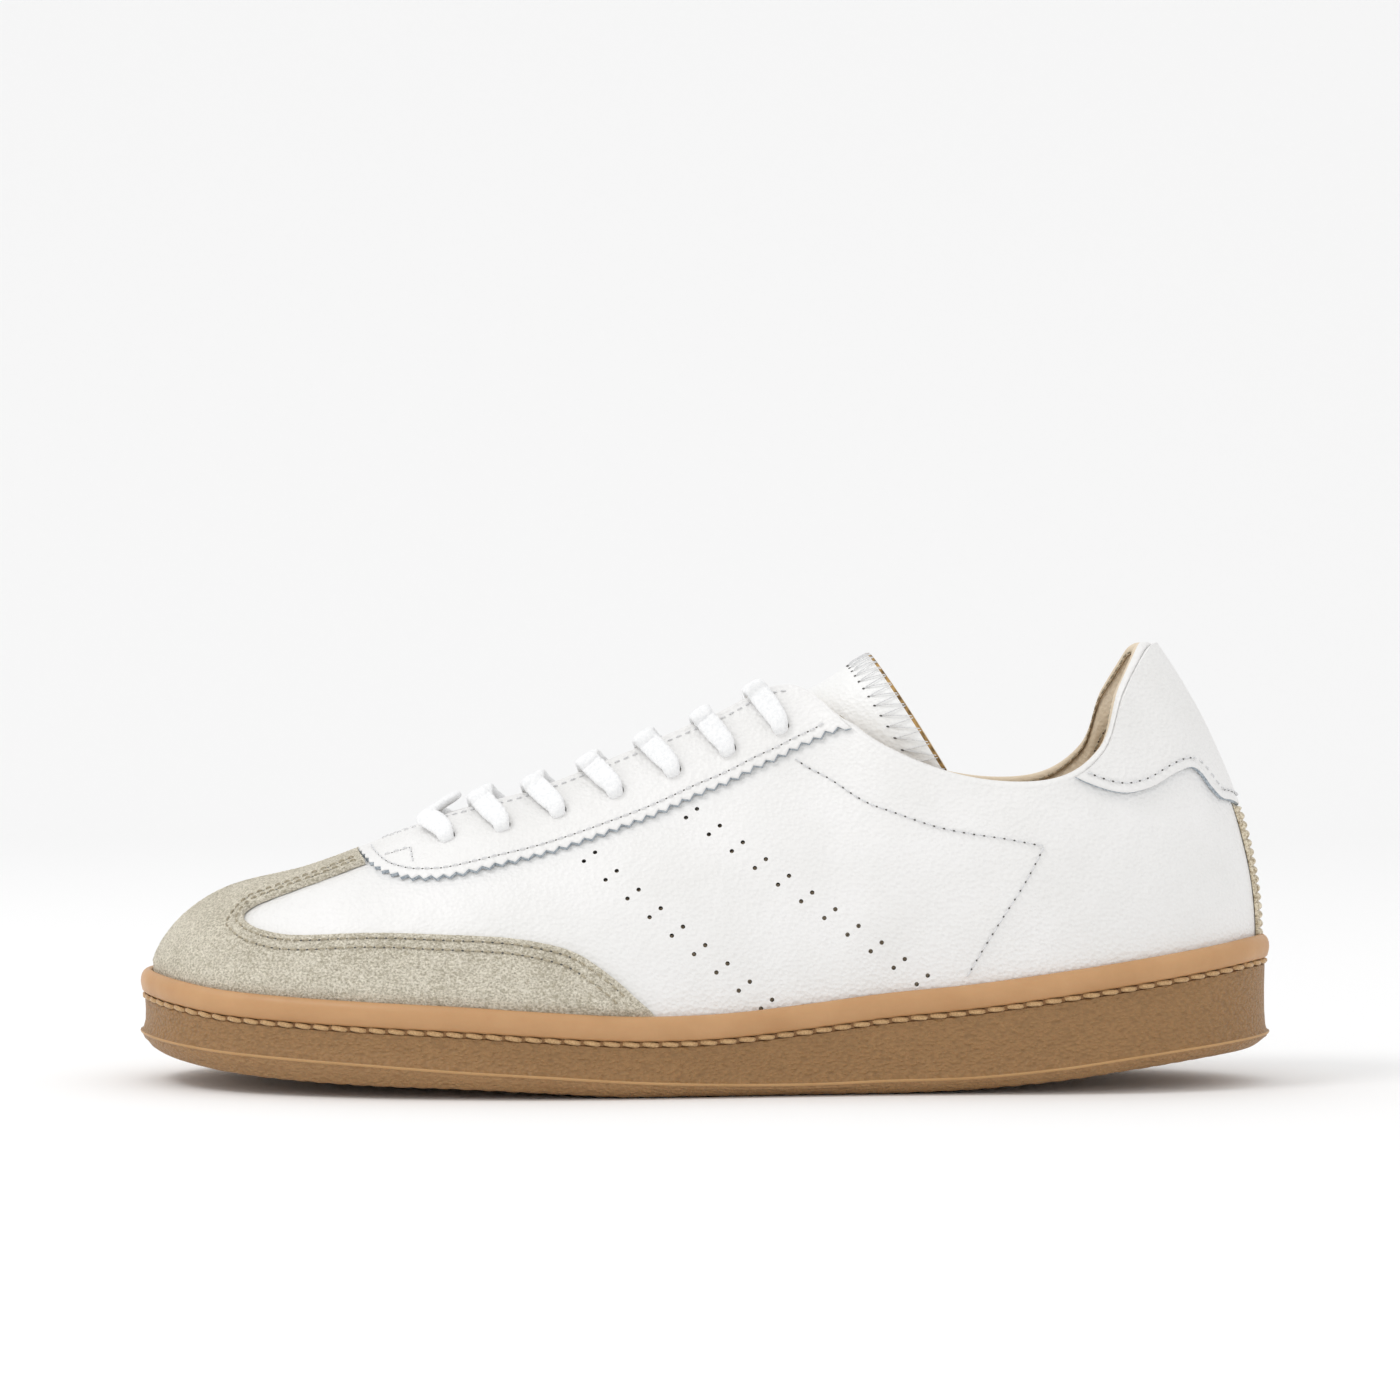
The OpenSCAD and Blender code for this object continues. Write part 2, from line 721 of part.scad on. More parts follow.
function chain(side, k) =
    k == eyelet_count - 1
        ? tucked(side)
        : concat(crossing(side, k, side == LATERAL ? 0.2 : 3.2), chain(-side, k + 1));

function backwards(list) = [for (k = [len(list) - 1 : -1 : 0]) list[k]];

lace_route = concat(
    backwards(chain(MEDIAL, 0)),
    [
        each backwards(turn_in(MEDIAL, 0)),
        [-66.5, turn(-66.5), 71 + lace_over],
        each turn_in(LATERAL, 0)
    ],
    chain(LATERAL, 0)
);

module lace() {
    sides = 6;
    fine = [for (k = [0 : len(lace_route) * 2 - 2]) along(lace_route, k / 2)];
    n = len(fine);
    color(WHITE)
        polyhedron(
            [
                for (k = [0 : n - 1])
                    let (
                        run = unit(fine[min(k + 1, n - 1)] - fine[max(k - 1, 0)]),
                        across = unit(cross(run, [run[0], 0.2, 3])),
                        up = cross(across, run)
                    )
                    for (j = [0 : sides - 1])
                        fine[k] + lace_r * (across * cos(360 * j / sides) + up * sin(360 * j / sides))
            ],
            tube_faces(n, sides)
        );
}

aglet_l = 20;
module aglet(tip, before) {
    way = unit(tip - before);
    stitch(tip + way * slack, tip + way * aglet_l, lace_d);
}

module aglets() {
    last = len(lace_route) - 1;
    color(WHITE) {
        aglet(lace_route[0], lace_route[1]);
        aglet(lace_route[last], lace_route[last - 1]);
    }
}

outsole();
sole_stitch();
midsole_wedge();
insole_board();
footbed_foam();
footbed_cover();
quarter_lateral();
quarter_medial();
toe_cap();
toe_puff();
vamp_lining();
lining_lateral();
lining_medial();
heel_counter();
collar_foam_lateral();
collar_foam_medial();
collar_binding();
eyestay();
eyestay_backing_lateral();
eyestay_backing_medial();
heel_tab();
heel_strip();
tongue_leather();
tongue_foam();
tongue_lining();
lace();
aglets();
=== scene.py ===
import math

import bpy
import numpy as np
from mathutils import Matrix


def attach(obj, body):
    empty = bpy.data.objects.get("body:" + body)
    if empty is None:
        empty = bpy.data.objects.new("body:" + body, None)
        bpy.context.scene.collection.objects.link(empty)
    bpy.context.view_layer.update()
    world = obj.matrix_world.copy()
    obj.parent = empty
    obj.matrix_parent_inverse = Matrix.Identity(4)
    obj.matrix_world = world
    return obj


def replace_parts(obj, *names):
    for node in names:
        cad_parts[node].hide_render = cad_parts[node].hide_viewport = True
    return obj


MM = 0.001
LATERAL, MEDIAL = 1, -1
SIDES = {"lateral": LATERAL, "medial": MEDIAL}
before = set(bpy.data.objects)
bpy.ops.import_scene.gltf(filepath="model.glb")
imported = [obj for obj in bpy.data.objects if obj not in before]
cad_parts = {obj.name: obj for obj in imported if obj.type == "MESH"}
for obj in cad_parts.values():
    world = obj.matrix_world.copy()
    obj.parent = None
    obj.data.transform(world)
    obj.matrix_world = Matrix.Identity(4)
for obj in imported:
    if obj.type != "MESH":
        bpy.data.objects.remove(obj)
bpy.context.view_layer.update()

# ---- the shoe's surface -------------------------------------------------------------------------

# Stations from the toe (0) round one side to the heel (17), as in the part: feather x, y, lip height;
# top edge x, y, z; bulge out and up at the feather, out and down at the top; rib height; underside height.
STATIONS = np.array([
    [-145, 0, 29.5, -121, 0, 50.8, 0.5, 13, 11, 2.6, 13.2, 8.5],
    [-142, 13, 29.2, -117.5, 0, 51.8, 0.5, 14, 14, 3.4, 12.9, 8.0],
    [-134, 25, 28, -112, 0, 53, 0.8, 16, 17, 3.2, 12, 6.6],
    [-121, 34.5, 26.3, -105, 0, 54.7, 1, 18, 20, 2.6, 10.8, 4.9],
    [-103, 41.5, 25.2, -96.5, 0, 57.6, 1.5, 20, 23, 2, 9.7, 3.6],
    [-83, 45.8, 24.3, -86, 0, 61.6, 1.5, 20, 22, 1, 8.6, 2.8],
    [-62, 47.5, 23.4, -66, 9.5, 69.4, 2, 20, 15, 6, 7.2, 2.2],
    [-40, 47.5, 22, -44, 10.5, 75.6, 2, 22, 13, 8, 5.9, 1.2],
    [-18, 45.5, 20.8, -21, 11, 85, 2, 26, 11, 10, 4.4, 0],
    [4, 42, 21.2, 2, 11.5, 95, 2, 30, 9, 12, 3.5, 0],
    [26, 38.5, 23.4, 23.5, 12.5, 103.3, 2, 32, 9, 13, 3.3, 0],
    [46, 36, 25.9, 44, 27, 88, 2.5, 28, 5, 18, 3.9, 0],
    [68, 34.5, 28, 67, 31.5, 79, 3, 20, 4, 16, 4.5, 0.8],
    [90, 33.8, 31, 89, 31.5, 78.3, 3, 18, 4, 16, 6.6, 2.8],
    [110, 31, 34, 102, 27, 86.3, 3, 20, 5, 18, 9.4, 5.5],
    [127, 24.5, 36.6, 108, 20.5, 101.5, 3, 24, 7, 24, 11.5, 7.6],
    [139.5, 13.5, 38.4, 114.6, 11.5, 112.6, 2.5, 26, 13, 26, 12.7, 8.7],
    [145, 0, 38.7, 118, 0, 114.3, 1.5, 26, 18, 26, 13.1, 9.3],
], float)
HEEL = len(STATIONS) - 1
THROAT, CORNER = 5, 10      # stations of the throat's front end and of its rear corner
RIB_START = 5               # how far the upper's feather line lies below the sole's lip
TOE_TURN = 5                # how far the toe is turned inwards


def unit(v):
    return v / np.maximum(np.linalg.norm(v, axis=-1, keepdims=True), 1e-9)


def smooth(x, lo, hi):
    t = np.clip((x - lo) / (hi - lo), 0, 1)
    return t * t * (3 - 2 * t)


def along(table, s):
    """Catmull-Rom through the rows of a table, at fractional row numbers."""
    last = len(table) - 1
    s = np.asarray(s, float)
    i = np.clip(np.floor(s).astype(int), 0, last - 1)
    t = (s - i)[..., None]
    b, c = table[i], table[i + 1]
    a = np.where((i > 0)[..., None], table[np.maximum(i - 1, 0)], 2 * b - c)
    d = np.where((i < last - 1)[..., None], table[np.minimum(i + 2, last)], 2 * c - b)
    return (2 * b + (c - a) * t + (2 * a - 5 * b + 4 * c - d) * t ** 2 + (3 * b - a - 3 * c + d) * t ** 3) / 2


def mirrored(row):
    row = row.copy()
    row[[1, 4]] *= -1
    return row


PADDED = np.array(
    [mirrored(STATIONS[2]), mirrored(STATIONS[1]), *STATIONS, mirrored(STATIONS[-2]), mirrored(STATIONS[-3])]
)


def station(s):
    return along(PADDED, np.clip(s, 0, HEEL) + 2)


def outward(s):
    s = np.asarray(s, float) + 2
    run = along(PADDED, s + 0.02)[..., :2] - along(PADDED, s - 0.02)[..., :2]
    return unit(np.stack([-run[..., 1], run[..., 0], 0 * run[..., 0]], -1))


def skin(s, v):
    """Outer surface of the upper: s from toe to heel, v from the feather line to the top edge."""
    s, v = np.broadcast_arrays(np.asarray(s, float), np.asarray(v, float))
    k, o = station(s), outward(s)
    zero = 0 * s
    up = np.stack([zero, zero, zero + 1], -1)
    foot = np.stack([k[..., 0], k[..., 1], k[..., 2] - RIB_START], -1)
    top = np.stack([k[..., 3], np.maximum(k[..., 4], 0), k[..., 5]], -1)
    low = foot + o * k[..., 6:7] + up * k[..., 7:8]
    high = top + o * k[..., 8:9] - up * k[..., 9:10]
    t = v[..., None]
    return foot * (1 - t) ** 3 + 3 * low * (1 - t) ** 2 * t + 3 * high * (1 - t) * t ** 2 + top * t ** 3


def skin_normal(s, v):
    s, v = np.broadcast_arrays(np.asarray(s, float), np.asarray(v, float))
    sc, vc = np.clip(s, 0.03, HEEL - 0.03), np.clip(v, 0.02, 0.96)
    n = np.cross(skin(sc, vc + 0.02) - skin(sc, vc - 0.02), skin(sc + 0.02, vc) - skin(sc - 0.02, vc))
    centred = (s < 0.01) | (s > HEEL - 0.01) | ((v > 0.99) & (s < THROAT + 0.01))
    n[..., 1] = np.where(centred, 0, n[..., 1])
    return unit(n)


def turn(x):
    return TOE_TURN * np.clip((-40 - x) / 108, 0, 1.1) ** 2


def medial_width(x):
    return 1 + 0.04 * np.exp(-(((x + 62) / 30) ** 2)) - 0.1 * np.exp(-(((x - 22) / 42) ** 2))


def place(side, p):
    """Puts a point of the lateral half on either side of the shoe."""
    p = np.asarray(p, float)
    x, y = p[..., 0], np.where(np.abs(p[..., 1]) < 1e-6, 0, p[..., 1])
    y = -y if side == LATERAL else y * medial_width(x)
    return np.stack([x, y + turn(x), p[..., 2]], -1)


def layer(side, s, v, d=0.0):
    d = np.asarray(d, float)
    return place(side, skin(s, v) + skin_normal(s, v) * d[..., None])


def layer_normal(side, s, v):
    n = skin_normal(s, v)
    n[..., 1] *= -side
    return n


def find(points):
    """Station and rib position of points of the lateral side, given by x and z."""
    points, step, rounds = np.array(points, float), 0.01, 5
    ss, vv = np.meshgrid(np.linspace(0, HEEL, 341), np.linspace(0, 1, 101), indexing="ij")
    grid = layer(LATERAL, ss, vv)[..., ::2]
    found = []
    for p in points:
        k = np.unravel_index(np.argmin(((grid - p) ** 2).sum(-1)), ss.shape)
        q = np.array([ss[k], vv[k]])
        for _ in range(rounds):
            s, v = q
            higher = min(v + step, 1)
            here = layer(LATERAL, s, v)[::2]
            ds = (layer(LATERAL, s + step, v)[::2] - here) / step
            dv = (layer(LATERAL, s, higher)[::2] - here) / max(higher - v, 1e-6)
            slopes = np.stack([ds, dv], -1)
            if abs(np.linalg.det(slopes)) < 1e-3 or v > 0.985:
                break
            move = np.clip(np.linalg.solve(slopes, p - here), -0.1, 0.1)
            q = np.clip(q + move, [0, 0], [HEEL, 1])
        found.append(q)
    return np.array(found)


def spaced(curve, count, side=LATERAL):
    """A curve of (s, v) points passed through smoothly and spaced evenly over the surface."""
    curve = np.asarray(curve, float)
    fine = along(curve, np.linspace(0, len(curve) - 1, 40 * len(curve)))
    fine[:, 1] = np.clip(fine[:, 1], 0, 1)
    run = np.linalg.norm(np.diff(layer(side, fine[:, 0], fine[:, 1]), axis=0), axis=1)
    reached = np.concatenate([[0], np.cumsum(run)])
    t = np.linspace(0, reached[-1], count)
    return np.stack([np.interp(t, reached, fine[:, 0]), np.interp(t, reached, fine[:, 1])], -1)


def length_of(curve, side=LATERAL):
    return np.linalg.norm(np.diff(layer(side, curve[:, 0], curve[:, 1]), axis=0), axis=1).sum()


# ---- meshes -------------------------------------------------------------------------------------

def make_object(name, points, faces, materials, face_slots=None, smooth_shading=True):
    mesh = bpy.data.meshes.new(name)
    mesh.from_pydata([tuple(p) for p in np.asarray(points, float) * MM], [], faces)
    for m in materials:
        mesh.materials.append(m)
    if face_slots is not None:
        mesh.polygons.foreach_set("material_index", np.asarray(face_slots, np.int32))
    obj = bpy.data.objects.new(name, mesh)
    bpy.context.scene.collection.objects.link(obj)
    if smooth_shading:
        mesh.shade_smooth()
        mesh.set_sharp_from_angle(angle=math.radians(50))
    return obj


class Sheet:
    """A closed sheet with thickness: grids of outer and inner points, joined where they meet."""

    def __init__(self):
        self.outer, self.inner, self.quads, self.cut, self.slots, self.count = [], [], [], [], [], 0

    def add(self, outer, inner, flipped, cut=None, slots=None):
        """cut marks the points on a raw edge; slots gives the material of each cell."""
        nu, nv = outer.shape[:2]
        self.cut.append(np.ones(nu * nv, bool) if cut is None else np.asarray(cut).reshape(-1))
        cells = (nu - 1, nv - 1)
        self.slots.append(np.broadcast_to(0 if slots is None else slots, cells).reshape(-1))
        number = np.arange(nu * nv).reshape(nu, nv) + self.count
        corners = [number[:-1, :-1], number[1:, :-1], number[1:, 1:], number[:-1, 1:]]
        quads = np.stack(corners, -1).reshape(-1, 4)
        self.quads.append(quads[:, ::-1] if flipped else quads)
        self.outer.append(outer.reshape(-1, 3))
        self.inner.append(inner.reshape(-1, 3))
        self.count += nu * nv

    def add_layer(self, side, s, v, d_out, d_in, cut=None, slots=None):
        """Rows of (s, v) positions on one side of the upper."""
        self.add(layer(side, s, v, d_out), layer(side, s, v, d_in), side == MEDIAL, cut, slots)

    def build(self, name, materials, edge_slot=0, inner_slot=0):
        outer, inner, quads = (np.concatenate(part) for part in (self.outer, self.inner, self.quads))
        cut, cell_slots = np.concatenate(self.cut), np.concatenate(self.slots).tolist()
        # Points that two grids share become one.
        _, first, number = np.unique(np.round(outer, 3), axis=0, return_index=True, return_inverse=True)
        outer, inner, cut, quads = outer[first], inner[first], cut[first], number.reshape(-1)[quads]
        n = len(outer)
        faces, slots, used = [], [], {}
        for q, slot_number in zip(quads.tolist(), cell_slots):
            f = [a for k, a in enumerate(q) if a != q[k - 1]]
            if len(set(f)) < 3 or len(set(f)) < len(f):
                continue
            faces.append(f)
            slots.append(slot_number)
            for k, a in enumerate(f):
                used[(f[k - 1], a)] = True
        inner_faces = [[a + n for a in reversed(f)] for f in faces]
        walls = [[b, a, a + n, b + n] for a, b in used if (b, a) not in used]
        wall_slots = [edge_slot if cut[w[0]] and cut[w[1]] else 0 for w in walls]
        slots = slots + [s if inner_slot is None else inner_slot for s in slots] + wall_slots
        points = np.concatenate([outer, inner])
        return make_object(name, points, faces + inner_faces + walls, materials, slots)


def tube(points, across, up, sides, width, height, power=2.0):
    """Rings of a swept oval, boxier with a higher power."""
    angle = np.linspace(0, 2 * math.pi, sides, endpoint=False)
    c, s = np.cos(angle), np.sin(angle)
    c = np.sign(c) * np.abs(c) ** (2 / power)
    s = np.sign(s) * np.abs(s) ** (2 / power)
    width, height = np.broadcast_to(width, len(points)), np.broadcast_to(height, len(points))
    return (
        points[:, None]
        + across[:, None] * (c[None] * width[:, None] / 2)[..., None]
        + up[:, None] * (s[None] * height[:, None] / 2)[..., None]
    )


def tube_faces(rings, sides, start=0):
    """Faces of a tube of rings, with closed ends."""
    faces = []
    for i in range(rings - 1):
        for j in range(sides):
            a, b = start + i * sides + j, start + i * sides + (j + 1) % sides
            faces.append([a, b, b + sides, a + sides])
    faces.append([start + j for j in range(sides)][::-1])
    faces.append([start + (rings - 1) * sides + j for j in range(sides)])
    return faces


def frames_of(points, ref):
    """Directions along, across and up from a line, with across as near to ref as it can be."""
    run = unit(np.gradient(points, axis=0))
    across = unit(ref - (ref * run).sum(-1, keepdims=True) * run)
    return run, across, np.cross(run, across)


def cut(obj, name, cutter):
    """Cuts a closed mesh out of a closed piece."""
    bpy.context.view_layer.update()
    modifier = obj.modifiers.new(name, "BOOLEAN")
    modifier.operation = "DIFFERENCE"
    modifier.solver = "MANIFOLD"
    modifier.object = cutter
    apply_modifiers(obj)
    obj.data.set_sharp_from_angle(angle=math.radians(50))


def apply_modifiers(obj):
    graph = bpy.context.evaluated_depsgraph_get()
    mesh = bpy.data.meshes.new_from_object(obj.evaluated_get(graph))
    obj.modifiers.clear()
    obj.data = mesh


def cylinders(name, centres, normals, diameter, low, high, sides=14):
    points, faces = [], []
    for p, n in zip(centres, normals):
        side_way = unit(np.cross(n, [0.3, 0.1, 1.0]))
        other = np.cross(n, side_way)
        line = np.array([p + n * low, p + n * high])
        ring = tube(line, np.array([side_way] * 2), np.array([other] * 2), sides, diameter, diameter)
        faces += tube_faces(2, sides, len(points))
        points += ring.reshape(-1, 3).tolist()
    return make_object(name, points, faces, [], smooth_shading=False)


def remove(obj):
    bpy.data.objects.remove(obj)


# ---- materials ----------------------------------------------------------------------------------

def rgb(r, g, b):
    """Linear colour from the eight-bit values of a picture."""
    return tuple(((c / 255 + 0.055) / 1.055) ** 2.4 if c > 10 else c / 3294.6 for c in (r, g, b)) + (1.0,)


class Shader:
    """One node material with a principled surface, read in the piece's own coordinates."""

    def __init__(self, name, roughness, **sockets):
        self.material = bpy.data.materials.new(name)
        self.material.use_nodes = True
        self.tree = self.material.node_tree
        self.surface = self.tree.nodes["Principled BSDF"]
        self.surface.inputs["Roughness"].default_value = roughness
        for key, value in sockets.items():
            self.surface.inputs[key.replace("_", " ")].default_value = value
        self.coordinates = self.tree.nodes.new("ShaderNodeTexCoord").outputs["Object"]
        self.height = None

    def node(self, kind, inputs, **settings):
        """A new node whose inputs are numbers, colours or the outputs of other nodes."""
        node = self.tree.nodes.new("ShaderNode" + kind)
        for key, value in settings.items():
            setattr(node, key, value)
        for key, value in inputs.items():
            self.feed(node.inputs[key], value)
        return node

    def feed(self, socket, value):
        if isinstance(value, bpy.types.NodeSocket):
            self.tree.links.new(value, socket)
        else:
            socket.default_value = value

    def stretched(self, stretch):
        if stretch is None:
            return self.coordinates
        scaled = self.node("VectorMath", {0: self.coordinates, 1: stretch}, operation="MULTIPLY")
        return scaled.outputs["Vector"]

    def noise(self, scale, detail=2.0, roughness=0.5, stretch=None):
        inputs = {"Scale": scale, "Detail": detail, "Roughness": roughness, "Vector": self.stretched(stretch)}
        return self.node("TexNoise", inputs).outputs["Fac"]

    def cells(self, scale, feature="F1", stretch=None):
        inputs = {"Scale": scale, "Vector": self.stretched(stretch)}
        return self.node("TexVoronoi", inputs, feature=feature).outputs["Distance"]

    def wave(self, scale, direction):
        inputs = {"Scale": scale, "Vector": self.coordinates}
        return self.node("TexWave", inputs, bands_direction=direction).outputs["Fac"]

    def ramp(self, value, lo, hi, to_lo=0.0, to_hi=1.0):
        return self.node("MapRange", {0: value, 1: lo, 2: hi, 3: to_lo, 4: to_hi}).outputs["Result"]

    def math(self, operation, a, b):
        return self.node("Math", {0: a, 1: b}, operation=operation).outputs["Value"]

    def colour(self, value, a, b):
        """Base colour from a to b as value rises."""
        mix = self.node("Mix", {"Factor": value, 6: a, 7: b}, data_type="RGBA")
        self.feed(self.surface.inputs["Base Color"], mix.outputs[2])

    def gloss(self, value, lo, hi):
        self.feed(self.surface.inputs["Roughness"], self.ramp(value, 0.3, 0.7, lo, hi))

    def bump(self, value, depth):
        """Raises the surface by value times depth, in millimetres, on top of earlier bumps."""
        inputs = {"Distance": depth * MM, "Strength": 1.0, "Height": value}
        if self.height is not None:
            inputs["Normal"] = self.height
        self.height = self.node("Bump", inputs).outputs["Normal"]
        self.feed(self.surface.inputs["Normal"], self.height)


def leather(name, light, dark, roughness=0.42, grain=1.0):
    """Fine-grained leather: shallow pebble, pores, soft creasing and uneven finish."""
    m = Shader(name, roughness, Coat_Weight=0.12, Coat_Roughness=0.35, Specular_IOR_Level=0.42)
    broad = m.noise(38, 3, 0.55)
    m.colour(m.ramp(broad, 0.3, 0.75), light, dark)
    m.gloss(m.noise(260, 3), roughness - 0.06, roughness + 0.08)
    m.bump(m.cells(820, stretch=(1, 1, 1.25)), 0.22 * grain)
    m.bump(m.noise(520, 4, 0.6), 0.1 * grain)
    m.bump(m.noise(2600, 2), 0.05 * grain)
    m.bump(broad, 0.3 * grain)
    return m.material


def suede(name, light, dark):
    """Brushed nap: short uneven fibre in faint patches, with a soft edge light."""
    m = Shader(name, 0.95, Sheen_Weight=0.45, Sheen_Roughness=0.55, Specular_IOR_Level=0.15)
    m.surface.inputs["Sheen Tint"].default_value = light
    nap = m.noise(1500, 4, 0.7, (1, 1, 1.4))
    patches = m.noise(90, 4, 0.6)
    both = m.math("ADD", m.math("MULTIPLY", nap, 0.87), m.math("MULTIPLY", patches, 0.13))
    m.colour(m.ramp(both, 0.4, 0.6), dark, light)
    m.bump(nap, 0.8)
    m.bump(m.noise(700, 3, 0.6), 0.75)
    return m.material


def rubber(name, light, dark, pebble, roughness):
    """Gum rubber, with the moulded pebble where it has one, darker in the pebble's gaps as painted shade."""
    m = Shader(name, roughness, Specular_IOR_Level=0.4, Subsurface_Weight=0.06, Subsurface_Scale=0.002)
    if pebble:
        cell = m.cells(950, "SMOOTH_F1", (1, 1, 1.6))
        fine = m.noise(1900, 3, 0.6)
        cloud = m.math("MULTIPLY", m.noise(70, 3), 0.35)
        # Colour darkens from the pebble tops into the gaps between them: painted shade, with random clouding.
        m.colour(m.ramp(m.math("ADD", cell, cloud), 0.2, 1.05), light, dark)
        m.bump(m.ramp(cell, 0.0, 0.75, 1.0, 0.0), 0.45)
        m.bump(fine, 0.1)
    else:
        m.colour(m.ramp(m.noise(45, 4, 0.6), 0.35, 0.7), light, dark)
        m.bump(m.noise(900, 3), 0.05)
        m.gloss(m.noise(150, 3), roughness - 0.06, roughness + 0.1)
    return m.material


def foam(name, light, dark, scale=1600):
    """Open cells or raw fibre."""
    m = Shader(name, 0.9)
    cell = m.cells(scale)
    m.colour(m.ramp(cell, 0.1, 0.7), dark, light)
    m.bump(cell, 0.3)
    return m.material


def weave(name, light, dark, pitch, roughness=0.85):
    """Plain weave that reads the same from any side; pitch is the thread spacing in millimetres."""
    m = Shader(name, roughness, Sheen_Weight=0.25, Sheen_Roughness=0.5)
    scale = math.pi / pitch / MM / 10
    threads = m.math("MULTIPLY", m.math("ADD", m.wave(scale, "X"), m.wave(scale, "Z")), m.wave(scale, "Y"))
    m.colour(m.ramp(m.math("ADD", threads, m.noise(200, 3)), 0.3, 1.6), dark, light)
    m.bump(threads, pitch * 0.35)
    m.bump(m.noise(3500, 2), 0.05)
    return m.material


def thread(name, light, dark):
    """Twisted sewing thread."""
    m = Shader(name, 0.6, Sheen_Weight=0.3, Sheen_Roughness=0.4)
    fibre = m.noise(2600, 3, 0.6)
    m.colour(m.ramp(fibre, 0.35, 0.65), dark, light)
    m.bump(fibre, 0.12)
    return m.material


def cotton(name, light, dark):
    """Soft spun cotton with loose fibre; on the ribbed tape the dark end also stands for painted shade
    between the beads.
    """
    m = Shader(name, 0.9, Sheen_Weight=0.4, Sheen_Roughness=0.6)
    fibre = m.noise(1300, 4, 0.7)
    m.colour(m.ramp(fibre, 0.35, 0.6), dark, light)
    m.bump(fibre, 0.2)
    return m.material


def plain(name, roughness, colour, **sockets):
    m = Shader(name, roughness, **sockets)
    m.surface.inputs["Base Color"].default_value = colour
    return m.material


WHITE_LEATHER = leather("white_leather", rgb(238, 237, 236), rgb(231, 230, 228))
TONGUE_LEATHER = leather("tongue_leather", rgb(242, 242, 241), rgb(235, 235, 234), grain=0.7)
TAN_LEATHER = leather("tan_leather", rgb(226, 206, 176), rgb(208, 184, 150), 0.5, 0.7)
EDGING_LEATHER = leather("edging_leather", rgb(228, 212, 188), rgb(214, 194, 164), 0.5, 0.8)
CUT_EDGE = foam("cut_edge", rgb(188, 196, 202), rgb(140, 150, 160))
RAW_EDGE = foam("raw_edge", rgb(178, 142, 86), rgb(36, 24, 14), 480)
SUEDE = suede("suede", rgb(252, 245, 228), rgb(180, 171, 149))
# Lip and wall are one gum: the lip's lighter colour is painted light on its lit top, and the wall's darker
# colour is painted shade; the wall's pebble is moulded.
GUM_LIT_LIP = rubber("gum_rubber", rgb(196, 152, 107), rgb(183, 138, 93), False, 0.42)
GUM_WALL_SHADED = rubber("gum_wall_shaded", rgb(160, 121, 77), rgb(133, 100, 62), True, 0.5)
GUM_BAND = rubber("gum_band", rgb(170, 132, 89), rgb(145, 109, 70), True, 0.5)
GUM_RIB = rubber("gum_rib", rgb(190, 150, 102), rgb(176, 136, 88), False, 0.45)
# Darker gum in the stitched groove and in the sole stitches' needle holes: painted shade.
GUM_GROOVE_SHADE = rubber("gum_groove_shade", rgb(146, 108, 68), rgb(120, 86, 54), False, 0.7)
SOLE_THREAD = thread("sole_thread", rgb(205, 170, 122), rgb(168, 130, 86))
WHITE_THREAD = thread("white_thread", rgb(232, 232, 232), rgb(206, 207, 209))
SUEDE_THREAD = thread("suede_thread", rgb(190, 180, 156), rgb(150, 139, 116))
# Dark discs in needle holes and dark walls of punched holes: painted shade.
HOLE_SHADE = foam("needle_hole_shade", rgb(96, 94, 92), rgb(64, 62, 60))
LACE = cotton("lace_cotton", rgb(248, 248, 248), rgb(236, 237, 238))
LACE_TIP = plain("lace_tip", 0.2, rgb(236, 236, 236), Coat_Weight=0.6)
# Its dark end is partly painted shade between the tape's beads, besides the fibre's own tone.
TAPE_FIBRE_AND_SHADE = cotton("ribbed_tape", rgb(232, 220, 194), rgb(136, 114, 76))
TEXTILE = weave("textile", rgb(226, 220, 206), rgb(186, 178, 160), 0.8)
EVA = foam("foam", rgb(232, 224, 196), rgb(206, 196, 164))
BOARD = weave("board", rgb(196, 170, 128), rgb(160, 132, 92), 1.2)


def finish_piece(obj, body, slot, *nodes):
    """Puts a piece on its body, in place of the CAD nodes it stands for; the slot argument is not used."""
    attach(obj, body)
    if nodes:
        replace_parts(obj, *nodes)
    return obj


# ---- stitching ----------------------------------------------------------------------------------

